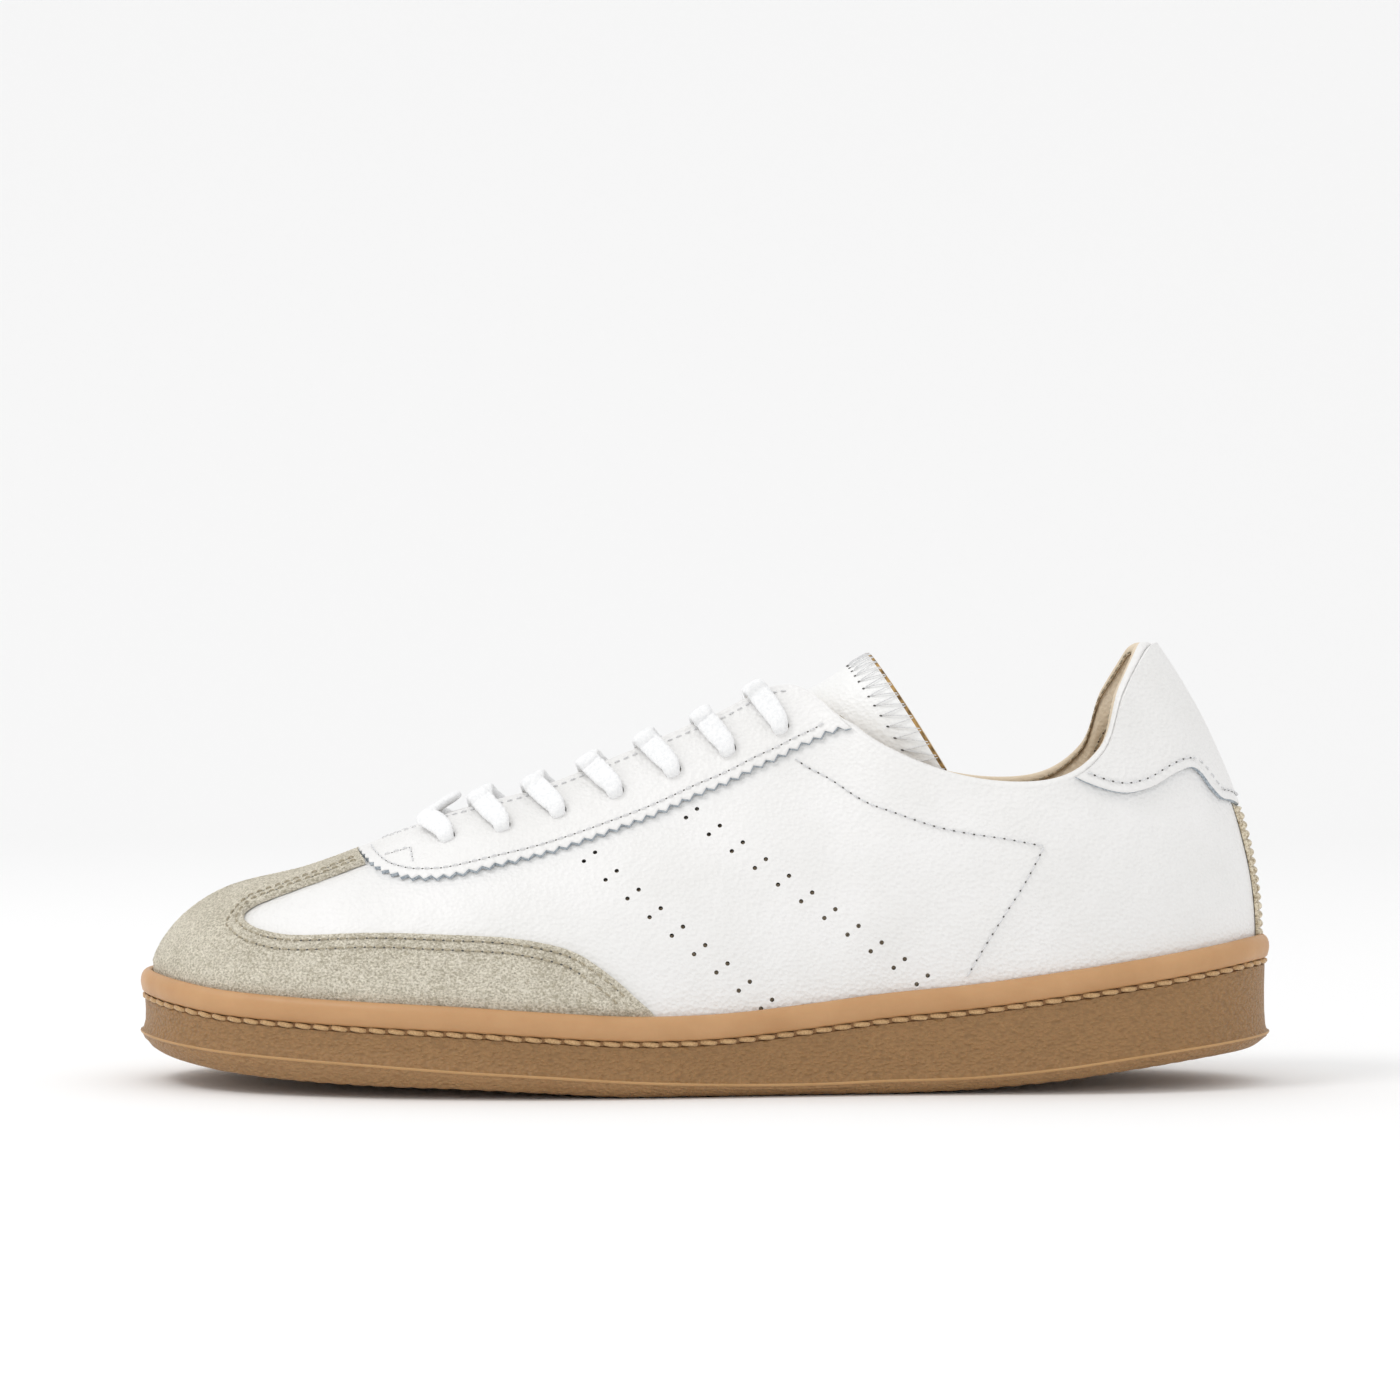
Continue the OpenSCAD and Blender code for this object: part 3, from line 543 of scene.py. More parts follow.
def stitches(name, points, normals, pitch, share, width, material, body, slot,
             sink=0.35, rise=0.45, slant=0.0, hole_shade_material=HOLE_SHADE):
    """A row of small bowed threads along a line, each diving into a needle hole at both ends, where a dark
    disc is painted shade.
    """
    run = np.concatenate([[0], np.cumsum(np.linalg.norm(np.diff(points, axis=0), axis=1))])
    count = max(int(round(run[-1] / pitch)), 1)
    pitch = run[-1] / count
    rings, sides, spots = 7, 6, 8
    all_points, faces, slots = [], [], []
    w = np.linspace(-1, 1, rings)
    angle = np.linspace(0, 2 * math.pi, spots, endpoint=False)

    def at(t):
        t = np.clip(t, 0, run[-1])
        p = np.stack([np.interp(t, run, points[:, k]) for k in range(3)], -1)
        n = unit(np.stack([np.interp(t, run, normals[:, k]) for k in range(3)], -1))
        return p, n

    for k in range(count):
        p, n = at((k + 0.5) * pitch + w * pitch * share / 2)
        tangent = unit(np.gradient(p, axis=0))
        beside = np.cross(tangent, n)
        bow = (1 - np.abs(w) ** 3) * rise - np.abs(w) ** 6 * sink
        line = p + n * bow[:, None] + beside * (w * slant)[:, None]
        thick = width * (0.82 + 0.18 * (1 - w ** 2))
        _, across, up = frames_of(line, beside)
        ring = tube(line, across, up, sides, thick, thick * 0.85)
        faces += tube_faces(rings, sides, len(all_points))
        slots += [0] * ((rings - 1) * sides + 2)
        all_points += ring.reshape(-1, 3).tolist()
        # A dark disc sunk in each needle hole: painted shade.
        if k:
            hole, out = (found[0] for found in at(np.array([k * pitch])))
            side_way = unit(np.cross(out, tangent[0]))
            disc = hole + out * 0.04 + np.outer(np.cos(angle), side_way) * width * 0.5
            disc = disc + np.outer(np.sin(angle), np.cross(out, side_way)) * width * 0.75
            faces += tube_faces(2, spots, len(all_points))
            slots += [1] * (spots + 2)
            all_points += disc.tolist() + (disc - out * 0.3).tolist()
    obj = make_object(name, all_points, faces, [material, hole_shade_material], slots)
    return finish_piece(obj, body, slot)


def surface_stitches(name, curve, d, side, pitch=2.5, share=0.66, width=0.42, material=WHITE_THREAD,
                     slot="white_leather"):
    """Stitches along a curve of (s, v) positions, at a height above the upper's skin."""
    points = layer(side, curve[:, 0], curve[:, 1], np.broadcast_to(d, len(curve)))
    normals = layer_normal(side, curve[:, 0], curve[:, 1])
    return stitches(name, points, normals, pitch, share, width, material, "shoe", slot)


# ---- the sole -----------------------------------------------------------------------------------

SOLE_OVERHANG = 3.7         # how far the sole's widest line stands out from the feather line
GROOVE_DROP = 7             # from the lip down to the stitched groove
FLOOR_T = 5
RIBS = np.linspace(0, HEEL, 15 * HEEL + 1)
LIP, RIB, WALL, BAND, GROOVE = range(5)     # the outsole's material slots


def edge_point(s, out, z):
    """A point of the lateral half at a distance outside the feather line and at a height."""
    k, o = station(s), outward(s)
    inside = (s > 0.01) & (s < HEEL - 0.01)
    y = np.where(inside, np.maximum(k[..., 1] + o[..., 1] * out, 0.01), 0)
    return np.stack([k[..., 0] + o[..., 0] * out, y, np.broadcast_to(z, y.shape)], -1)


def around(out, z):
    """A closed ring round the shoe: the lateral side from toe to heel, then back along the medial side."""
    lateral = place(LATERAL, edge_point(RIBS, out, z))
    medial = place(MEDIAL, edge_point(RIBS, out, z))
    return np.concatenate([lateral, medial[-2:0:-1]])


def tread(x, y):
    """Depth of the sole's tread: rings under the ball and heel, and waves between them."""
    ball_x, heel_x, pitch, ring_radius, depth = -62, 98, 5.6, 30, 1.1
    ball, heel = np.hypot(x - ball_x, (y - 1) * 1.05), np.hypot(x - heel_x, y * 1.05)
    near = np.minimum(ball, heel)
    rings = np.sin(near * 2 * math.pi / pitch)
    waves = np.sin((x + 2.2 * np.sin(y / 4.2)) * 2 * math.pi / pitch)
    pattern = np.where(near < ring_radius, rings, waves)
    return depth * smooth(pattern, 0.1, 0.6)


def build_outsole():
    k = station(RIBS)
    lip, rib, under = k[:, 2], k[:, 10], np.maximum(k[:, 11], 0)
    groove, low = lip - GROOVE_DROP, (under + rib) / 2
    # Out from the feather line, height, and material, from the underside over the wall to the cup's inside.
    profile = [
        (-3, under, BAND), (-1.4, under + 0.15, BAND), (0, under + 0.5, BAND), (0.9, under + 1.1, BAND),
        (1.9, low, BAND), (2.6, low + 0.6, BAND), (2.95, rib - 1.1, BAND), (3.15, rib - 0.6, BAND),
        (3.5, rib - 0.35, BAND), (SOLE_OVERHANG, rib, RIB), (3.6, rib + 0.3, RIB), (3.1, rib + 0.5, WALL),
        (2.8, rib + 1.1, WALL), (2.6, rib + 1.9, WALL), (2.35, rib * 0.7 + groove * 0.3, WALL),
        (2.3, rib * 0.4 + groove * 0.6, WALL), (2.45, groove - 1.3, WALL), (2.35, groove - 0.85, WALL),
        # The groove's faces take the darker groove gum: painted shade.
        (1.8, groove - 0.6, GROOVE), (1.3, groove - 0.2, GROOVE), (1.3, groove + 0.3, GROOVE),
        (1.8, groove + 0.65, GROOVE), (2.6, groove + 0.85, LIP), (3.2, groove + 1.4, LIP),
        (3.55, lip - 4.2, LIP), (3.65, lip - 3.2, LIP), (3.55, lip - 2.2, LIP), (3.3, lip - 1.4, LIP),
        (2.9, lip - 0.75, LIP), (2.3, lip - 0.25, LIP), (1.7, lip, LIP), (1.15, lip - 0.1, LIP),
        (0.7, lip - 0.5, LIP), (0.4, lip - 1.2, LIP), (0.4, under + FLOOR_T, LIP),
    ]
    rings = [around(out, z) for out, z, _ in profile]
    # The tread fades out towards the rim, which stays smooth.
    for ring, share in zip(rings, (0.85, 0.25)):
        ring[:, 2] += share * tread(ring[:, 0], ring[:, 1])
    loop, n = len(rings[0]), len(RIBS)
    points, faces, slots = np.concatenate(rings).tolist(), [], []
    for r in range(len(rings) - 1):
        for i in range(loop):
            j = (i + 1) % loop
            faces.append([r * loop + i, (r + 1) * loop + i, (r + 1) * loop + j, r * loop + j])
            slots.append(profile[r + 1][2])
    # The underside, in columns from side to side, with the tread sunk into it.
    across = 62
    medial_half = [0] + list(range(loop - 1, n - 1, -1)) + [n - 1]
    first, second = rings[0][:n], rings[0][medial_half]
    w = np.linspace(0, 1, across + 1)
    grid = first[:, None] * (1 - w)[None, :, None] + second[:, None] * w[None, :, None]
    depth = tread(grid[..., 0], grid[..., 1])
    grid[..., 2] += depth * (np.minimum(w, 1 - w) > 0.01)[None]
    number = np.zeros((n, across + 1), int)
    number[:, 0], number[:, -1] = np.arange(n), medial_half
    number[0], number[-1] = 0, n - 1
    for i in range(1, n - 1):
        for j in range(1, across):
            number[i, j] = len(points)
            points.append(grid[i, j].tolist())
    for i in range(n - 1):
        for j in range(across):
            quad = [number[i, j], number[i + 1, j], number[i + 1, j + 1], number[i, j + 1]]
            quad = [int(a) for corner, a in enumerate(quad) if a != quad[corner - 1]]
            if len(set(quad)) > 2:
                faces.append(quad)
                slots.append(BAND)
    # The cup floor.
    last = (len(rings) - 1) * loop
    for i in range(n - 1):
        a, b = last + i, last + i + 1
        c, d = last + (loop - i - 1) % loop, last + (loop - i) % loop
        quad = [a, d, c, b] if 0 < i < n - 2 else ([a, c, b] if i == 0 else [a, d, b])
        faces.append(quad)
        slots.append(LIP)
    obj = make_object("outsole_gum", points, faces, [GUM_LIT_LIP, GUM_RIB, GUM_WALL_SHADED, GUM_BAND, GUM_GROOVE_SHADE], slots)
    return finish_piece(obj, "shoe", "gum_rubber", "outsole")


def build_sole_stitch():
    k = station(RIBS)
    thread_out = 2.15
    ring = around(thread_out, k[:, 2] - GROOVE_DROP)
    ring = np.concatenate([ring, ring[:1]])
    run = unit(np.gradient(ring, axis=0))
    normals = unit(np.cross(run, [0, 0, 1.0]))
    # Its needle holes take the darker groove gum: painted shade.
    obj = stitches(
        "sole_thread", ring, normals, 4.9, 0.94, 1.25, SOLE_THREAD, "shoe", "sole_thread",
        sink=1.2, rise=0.55, slant=0.22, hole_shade_material=GUM_GROOVE_SHADE)
    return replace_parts(obj, "sole_stitch")


build_outsole()
build_sole_stitch()

# ---- the upper's layers -------------------------------------------------------------------------

LEATHER_T, OVERLAY_T, LINING_T = 1.3, 1.2, 1.0
GAP, SLACK = 0.3, 0.1
PUFF_T, COUNTER_T, BACKING_T, COLLAR_PAD = 1.2, 1.6, 0.7, 3.4
EYELET_D, EYELET_V, EYELETS = 4.4, 0.8, 7
OVERLAY_OUT = GAP + OVERLAY_T
PERFORATION_D = 1.15


def stiffener_depth(s, v):
    """Thickness of what lies between leather and lining: toe puff, heel counter and eyelet backing."""
    return (
        PUFF_T * (1 - smooth(s, 3, 5))
        + COUNTER_T * smooth(s, 12.5, 14) * (1 - smooth(v, 0.5, 0.7))
        + BACKING_T * smooth(s, 4.5, 5.5) * (1 - smooth(s, 10.5, 11.2)) * smooth(v, 0.5, 0.62)
    )


def foam_depth(s, v):
    return COLLAR_PAD * smooth(s, 10.6, 11.6) * smooth(v, 0.6, 0.8) * (1 - smooth(v, 0.9, 1.05))


def lining_out(s, v):
    return -LEATHER_T - 2 * SLACK - stiffener_depth(s, v) - foam_depth(s, v)


def lip_v(s):
    """Rib position at which the upper comes out of the sole's lip, nearly."""
    return 1.1 * RIB_START / (3 * station(s)[..., 7])


def eyelet_s(k):
    first, run = 6, 3.8
    return first + run * k / (EYELETS - 1)


def ripple(s, v, size, seed):
    """Soft unevenness of leather pulled over a last."""
    a = np.sin(s * 5.3 + seed) * np.sin(v * 17 + 2.1 * seed)
    b = np.sin(s * 11.9 + v * 9 + 3.3 * seed) * np.sin(v * 29 - s * 2.3 + seed)
    c = np.sin(s * 2.1 + v * 5 + 0.7 * seed)
    return size * (0.5 * a + 0.25 * b + 0.4 * c)


def grid(s_values, v_values):
    return np.meshgrid(s_values, v_values, indexing="ij")


def bores(side, high, low):
    """Cutters for one side's eyelets, from a height above the skin to a depth below it."""
    s = np.array([eyelet_s(k) for k in range(EYELETS)])
    centres = layer(side, s, EYELET_V)
    normals = unit(layer(side, s, EYELET_V, 1.0) - layer(side, s, EYELET_V, -1.0))
    return cylinders("bores", centres, normals, EYELET_D, low, high, sides=20)


def perforations(side):
    """Two slanting rows of paired holes across the side panel."""
    centres, second = [], (2.8, 2.2)
    for start, end, pairs in (((-30.6, 59), (14.4, 22.2), 9), ((-4.6, 70), (53.9, 28), 11)):
        line = np.linspace(start, end, pairs)
        centres += [line, line + second]
    at = find(np.concatenate(centres))
    normals = layer_normal(side, at[:, 0], at[:, 1])
    return layer(side, at[:, 0], at[:, 1]), normals


def mark_holes(obj, centres, normals, radius, slot_number):
    """Gives the walls of punched holes a dark material: painted shade inside the holes."""
    mesh = obj.data
    count = len(mesh.polygons)
    middle, facing = np.zeros(count * 3), np.zeros(count * 3)
    mesh.polygons.foreach_get("center", middle)
    mesh.polygons.foreach_get("normal", facing)
    middle, facing = middle.reshape(-1, 3) / MM, facing.reshape(-1, 3)
    slots = np.zeros(count, np.int32)
    mesh.polygons.foreach_get("material_index", slots)
    for p, n in zip(centres, normals):
        off = middle - p
        height = off @ n
        beside = np.linalg.norm(off - height[:, None] * n, axis=1)
        slots[(beside < radius * 1.08) & (np.abs(height) < 4) & (np.abs(facing @ n) < 0.5)] = slot_number
    mesh.polygons.foreach_set("material_index", slots)


def build_quarter(side, name, node):
    """Side panel, cut through for the eyelets and the perforations."""
    s, v = grid(np.linspace(0, HEEL, 16 * HEEL + 1), np.linspace(0, 1, 53))
    between_edges = smooth(v, 0.1, 0.3) * (1 - smooth(v, 0.75, 0.9)) * smooth(s, 0.5, 2)
    outer = ripple(s, v, 0.16, 1.0 + side) * between_edges
    sheet = Sheet()
    sheet.add_layer(side, s, v, outer - 0.12, -LEATHER_T)
    obj = sheet.build(name, [WHITE_LEATHER, HOLE_SHADE])
    cutter = bores(side, 4, -4)
    cut(obj, "eyelets", cutter)
    remove(cutter)
    centres, normals = perforations(side)
    cutter = cylinders("perforations", centres, normals, PERFORATION_D, -3, 3)
    cut(obj, "perforations", cutter)
    remove(cutter)
    # The perforations' walls take the dark hole material: painted shade.
    mark_holes(obj, centres, normals, PERFORATION_D / 2, 1)
    return finish_piece(obj, "shoe", "white_leather", node)


def build_lining(side, name, node):
    """Leather lining with soft creases, and a lighter band along the collar with its seam."""
    band_v, seam_v = 0.87, 0.885
    s, v = grid(np.linspace(THROAT, HEEL, 15 * (HEEL - THROAT) + 1), np.linspace(0, 1, 45))
    crease = ripple(s * 2.2, v * 1.3, 0.3, 4.0 + side) * (1 - smooth(v, 0.8, 0.86)) * smooth(v, 0.05, 0.3)
    sheet = Sheet()
    depth = lining_out(s, v)
    band = ((v > band_v) & (s > CORNER))[:-1, :-1].astype(int)
    step = 0.12 * smooth(v, band_v - 0.005, band_v + 0.005) * smooth(s, CORNER, CORNER + 0.1)
    inner = depth - LINING_T + 0.2 + np.minimum(crease, 0.05) - step
    sheet.add_layer(side, s, v, depth, inner, slots=band)
    obj = sheet.build(name, [TAN_LEATHER, EDGING_LEATHER], inner_slot=None)
    cutter = bores(side, 2, -8)
    cut(obj, "eyelets", cutter)
    remove(cutter)
    line = np.linspace(CORNER + 0.6, HEEL - 0.05, 400)
    points = layer(side, line, seam_v, lining_out(line, seam_v) - LINING_T + 0.05)
    away = -layer_normal(side, line, np.full(len(line), seam_v))
    stitches(f"{name}_seam", points, away, 2.8, 0.66, 0.42, SUEDE_THREAD, "shoe", "tan_leather")
    return finish_piece(obj, "shoe", "tan_leather", node)


def build_vamp_lining():
    s, v = grid(np.linspace(0, THROAT - 0.02, 61), np.linspace(0, 1, 33))
    sheet = Sheet()
    for side in SIDES.values():
        sheet.add_layer(side, s, v, lining_out(s, v), lining_out(s, v) - LINING_T)
    obj = sheet.build("vamp_textile", [TEXTILE])
    return finish_piece(obj, "shoe", "textile", "vamp_lining")


for word, side in SIDES.items():
    build_quarter(side, f"side_panel_{word}", f"quarter_{word}")
    build_lining(side, f"lining_leather_{word}", f"lining_{word}")
build_vamp_lining()

# ---- overlays -----------------------------------------------------------------------------------

# Distances of the rows from a cut edge, close enough to shape its rounded rim and sewn channels.
EDGE_ROWS = np.array([0, 0.1, 0.28, 0.55, 0.9, 1.3, 1.7, 2.1, 2.5, 3.1])


def columns(low, high, side, inner_rows, round_low, round_high):
    """Rows between two edges, close together beside a rounded one: s, v and the distances to both edges."""
    span = np.linalg.norm(
        layer(side, high[:, 0], high[:, 1]) - layer(side, low[:, 0], low[:, 1]), axis=1)[:, None]
    near = EDGE_ROWS[None] * np.minimum(1, 0.42 * span / EDGE_ROWS[-1]) / np.maximum(span, 1e-6)
    start = near if round_low else 0 * span
    stop = 1 - near[:, ::-1] if round_high else 1 + 0 * span
    t = np.linspace(0, 1, inner_rows + 2)[None, 1:-1]
    middle = start[:, -1:] * (1 - t) + stop[:, :1] * t
    w = np.concatenate([start, middle, stop], 1)
    at = low[:, None] + (high - low)[:, None] * w[..., None]
    return at[..., 0], at[..., 1], w * span, (1 - w) * span


def edge_drop(x, thickness, seams=(), channel=0.22):
    """How far the surface drops at a distance from a cut edge: its rounded rim and its sewn channels."""
    r = 0.45 * thickness
    t = np.clip(1 - x / r, 0, 1)
    drop = 0.8 * r * (1 - np.sqrt(1 - t ** 2 * 0.96))
    for at in seams:
        drop = drop + channel * np.exp(-(((x - at) / 0.5) ** 2))
    return drop


def inset(curve, distance, side=LATERAL):
    """A curve of (s, v) moved across the surface, towards higher v for a line that runs to the heel."""
    s, v = curve[:, 0], np.clip(curve[:, 1], 0, 0.999)
    base = layer(side, s, v)
    along_s = (layer(side, s + 0.01, v) - layer(side, s - 0.01, v)) / 0.02
    along_v = (layer(side, s, v + 0.001) - layer(side, s, v - 0.01)) / 0.011
    run = unit(np.gradient(base, axis=0))
    across = np.cross(layer_normal(side, s, v), run) * side
    a, b, c = (along_s ** 2).sum(-1), (along_s * along_v).sum(-1), (along_v ** 2).sum(-1)
    p, q = (across * along_s).sum(-1), (across * along_v).sum(-1)
    det = np.maximum(a * c - b * b, 1e-6)
    move = np.stack([(c * p - b * q) / det, (a * q - b * p) / det], -1)
    return curve + move * np.broadcast_to(distance, len(curve))[:, None]


def pinked(curve, pitch, depth):
    """A zigzag-cut edge along a curve, with four points to each tooth."""
    teeth = int(round(length_of(curve) / pitch))
    fine = spaced(curve, teeth * 4 + 1)
    zigzag = np.abs((np.arange(len(fine)) / 2) % 2 - 1)
    ends = np.minimum(np.arange(len(fine)), np.arange(len(fine))[::-1]) > 1
    return inset(fine, depth * zigzag * ends), fine


# Eyestay: the pinked edge from the ridge in front of the throat to the topline behind its corner.
stay_edge = find([
    (-85, 56.3), (-78, 54), (-71, 53.6), (-64, 54.3), (-51, 57.3), (-38, 60.6), (-25, 65), (-12, 69.9),
    (0.7, 75.7), (12, 80.9), (21, 85.2), (28, 88.6), (33, 91),
])
stay_edge = np.concatenate([[(4.68, 1)], [(4.74, 0.93)], stay_edge, [(10.72, 1)]])
stay_teeth, stay_line = pinked(spaced(stay_edge, 400), 3.4, 1.3)


throat_inset = 1.9


def above(curve):
    """The top edge over a curve of (s, v) positions."""
    return np.stack([curve[:, 0], np.ones(len(curve))], -1)


def build_eyestay():
    sheet = Sheet()
    top = above(stay_line)
    for side in SIDES.values():
        s, v, from_low, from_top = columns(stay_teeth, top, side, 12, True, True)
        throat = smooth(s, THROAT - 0.3, THROAT + 0.1)
        drop = edge_drop(from_low, OVERLAY_T) + edge_drop(from_top, OVERLAY_T, (throat_inset,), 0.12) * throat
        sheet.add_layer(side, s, v, OVERLAY_OUT - drop, GAP * 0.4 + 0 * s, cut=from_low < 0.01)
    obj = sheet.build("eyestay_leather", [WHITE_LEATHER, CUT_EDGE], edge_slot=1)
    for side in SIDES.values():
        cutter = bores(side, 6, -4)
        cut(obj, "eyelets", cutter)
        remove(cutter)
    return finish_piece(obj, "shoe", "white_leather", "eyestay")


build_eyestay()
for word, side in SIDES.items():
    row = spaced(inset(stay_line[9:-7], 3.2)[::3], 300)
    surface_stitches(f"stay_seam_{word}", row, OVERLAY_OUT, side)
    throat_s = np.linspace(5.15, 9.95, 200)
    throat_row = inset(np.stack([throat_s, np.full(200, 0.995)], -1), -throat_inset)
    surface_stitches(f"throat_seam_{word}", throat_row, OVERLAY_OUT - 0.12, side)

# Two sides of a small stitched triangle at the front of each facing.
triangle = [np.linspace((-82.5, 58.6), (-75.2, 60.8), 10), np.linspace((-75.2, 60.8), (-74.2, 57.2), 6)[1:]]
for word, side in SIDES.items():
    row = find(np.concatenate(triangle))
    surface_stitches(f"triangle_seam_{word}", row, OVERLAY_OUT - 0.02, side, pitch=2.3, width=0.4)

# Suede toe cap: a band round the toe whose wings run back along the lip, and a strap up the ridge.
cap_inner = spaced(find([
    (-87.6, 57.4), (-98.6, 53.2), (-106, 50.6), (-114, 47.6), (-117.6, 45.6), (-118.4, 44.2), (-117.4, 42.6),
    (-113, 40.8), (-104, 39.7), (-88, 40.4), (-71.5, 40.5), (-51, 39.8), (-39, 38.1), (-32, 36),
    (-26.5, 32.7), (-21, 28.6), (-17, 25), (-14, 22.4), (-11.5, 20),
]), 420)
cap_split = int(np.argmin(cap_inner[:, 0]))
strap_line, band_line = cap_inner[:cap_split + 1][::-1], cap_inner[cap_split:]
band_line[:, 1] = np.maximum(band_line[:, 1], lip_v(band_line[:, 0]) * 0.85)
cap_tip = strap_line[0]
# The strap runs up to the eyestay's front edge, which it meets a little further forward on the ridge.
strap_end = 4.64
stretch = (strap_end - cap_tip[0]) / (strap_line[-1, 0] - cap_tip[0])
strap_top = cap_tip[0] + (strap_line[:, 0] - cap_tip[0]) * stretch
strap_ridge = np.stack([strap_top, np.ones(len(strap_top))], -1)
cap_seams = (1.7, 4.3)


def build_toe_cap():
    """Suede cap in four parts a side: toe, crown, wing and strap, with a slightly rough nap."""
    sheet = Sheet()

    def foot(s):
        return np.stack([s, lip_v(s) * 0.8], -1)

    nap = 0.14
    front = np.linspace(0, cap_tip[0], 70)
    middle = np.stack([front, cap_tip[1] * np.ones(len(front))], -1)
    for side in SIDES.values():
        parts = (
            (foot(front), middle, False, False), (middle, above(middle), False, False),
            (foot(band_line[:, 0]), band_line, False, True), (strap_line, strap_ridge, True, False),
        )
        for k, (low, high, cut_low, cut_high) in enumerate(parts):
            low_part = k in (0, 2)
            s, v, from_low, from_top = columns(low, high, side, 10, not low_part, low_part)
            drop = 0 * s
            if cut_low or cut_high:
                drop = edge_drop(from_low if cut_low else from_top, OVERLAY_T, cap_seams, 0.1)
            rough = nap * np.sin(s * 61 + v * 40) * np.sin(v * 83 - s * 17) * np.sin(s * 23 + 5 * side * v)
            tuck = 0.9 * (1 - smooth(v, lip_v(s) * 0.9, lip_v(s) * 1.25))
            sheet.add_layer(side, s, v, OVERLAY_OUT - drop + rough - tuck, GAP * 0.3 + 0 * s)
    obj = sheet.build("toe_cap_suede", [SUEDE])
    return finish_piece(obj, "shoe", "suede", "toe_cap")


build_toe_cap()
for word, side in SIDES.items():
    for row_number, distance in enumerate(cap_seams):
        strap_row = inset(strap_line, distance)[:-4]
        band_row = inset(band_line, -distance)[:-26]
        joined = np.concatenate([strap_row[3:][::-1], band_row[3:]])
        row = spaced(joined[::8], 420)
        name = f"cap_seam_{word}_{row_number}"
        surface_stitches(name, row, OVERLAY_OUT - 0.1, side, 2.5, 0.7, 0.5, SUEDE_THREAD, "suede")

# Heel tab with its wavy lower edge.
tab_edge = find([
    (97.5, 78.7), (103, 76.8), (108, 76.1), (112, 76.8), (115.6, 78.1), (121.5, 81.3), (125.4, 82.4),
    (128, 80.8), (130.6, 77.4), (133.7, 74.4),
])
tab_edge = np.concatenate([[(13.35, 1)], tab_edge, [(16.5, 0.497), (17, 0.475)]])
tab_line = spaced(tab_edge, 220)
tab_inset = 2.4


def build_heel_tab():
    sheet = Sheet()
    for side in SIDES.values():
        s, v, from_low, _ = columns(tab_line, above(tab_line), side, 18, True, False)
        drop = edge_drop(from_low, OVERLAY_T, (tab_inset,))
        uneven = ripple(s, v, 0.1, 6)
        sheet.add_layer(side, s, v, OVERLAY_OUT - drop + uneven, GAP * 0.4 + 0 * s, cut=from_low < 0.01)
    obj = sheet.build("heel_tab_leather", [WHITE_LEATHER, CUT_EDGE], edge_slot=1)
    return finish_piece(obj, "shoe", "white_leather", "heel_tab")


build_heel_tab()
for word, side in SIDES.items():
    row = spaced(inset(tab_line[6:-2], tab_inset)[::6], 260)
    surface_stitches(f"tab_seam_{word}", row, OVERLAY_OUT - 0.1, side)

# The decorative seam of the side panel.
panel_seams = (
    [(23, 85), (28, 82), (37, 76.6), (47.5, 71.7), (59.5, 67.7), (75, 65), (86.4, 63)],
    [(86.4, 63), (81, 53), (75, 43.7), (66.5, 29.5)],
)
for word, side in SIDES.items():
    for number, line in enumerate(panel_seams):
        row = spaced(find(line), 300)
        surface_stitches(f"panel_seam_{word}_{number}", row, 0.02, side, pitch=2.6, width=0.4)


def build_heel_tape():
    """Ribbed tape over the heel seam: rounded beads side by side."""
    sheet = Sheet()
    edge_s, bead, low, high = 16.68, 2.4, lip_v(np.array(16.7)) * 0.8, 0.487
    height = np.linalg.norm(layer(LATERAL, 17.0, high) - layer(LATERAL, 17.0, low))
    beads = int(round(height / bead))
    s, v = grid(np.linspace(edge_s, HEEL, 13), np.linspace(low, high, beads * 8 + 1))
    phase = (v - low) / (high - low) * beads * math.pi
    slope = (HEEL - s) / (HEEL - edge_s)
    for side in SIDES.values():
        rib = np.abs(np.sin(phase + side * slope * 0.5)) ** 0.7
        edge = smooth(s, edge_s, edge_s + 0.08)
        # It thins out at its top, under the heel tab.
        tucked_in = 1 - smooth(v, high - 0.022, high - 0.004)
        rise = (0.25 + 1.35 * rib) * (0.35 + 0.65 * edge)
        sheet.add_layer(side, s, v, 0.12 + (GAP - 0.12 + rise) * tucked_in, 0.1 + 0 * s)
    obj = sheet.build("heel_tape_ribbed", [TAPE_FIBRE_AND_SHADE])
    return finish_piece(obj, "shoe", "ribbed_tape", "heel_strip")


build_heel_tape()


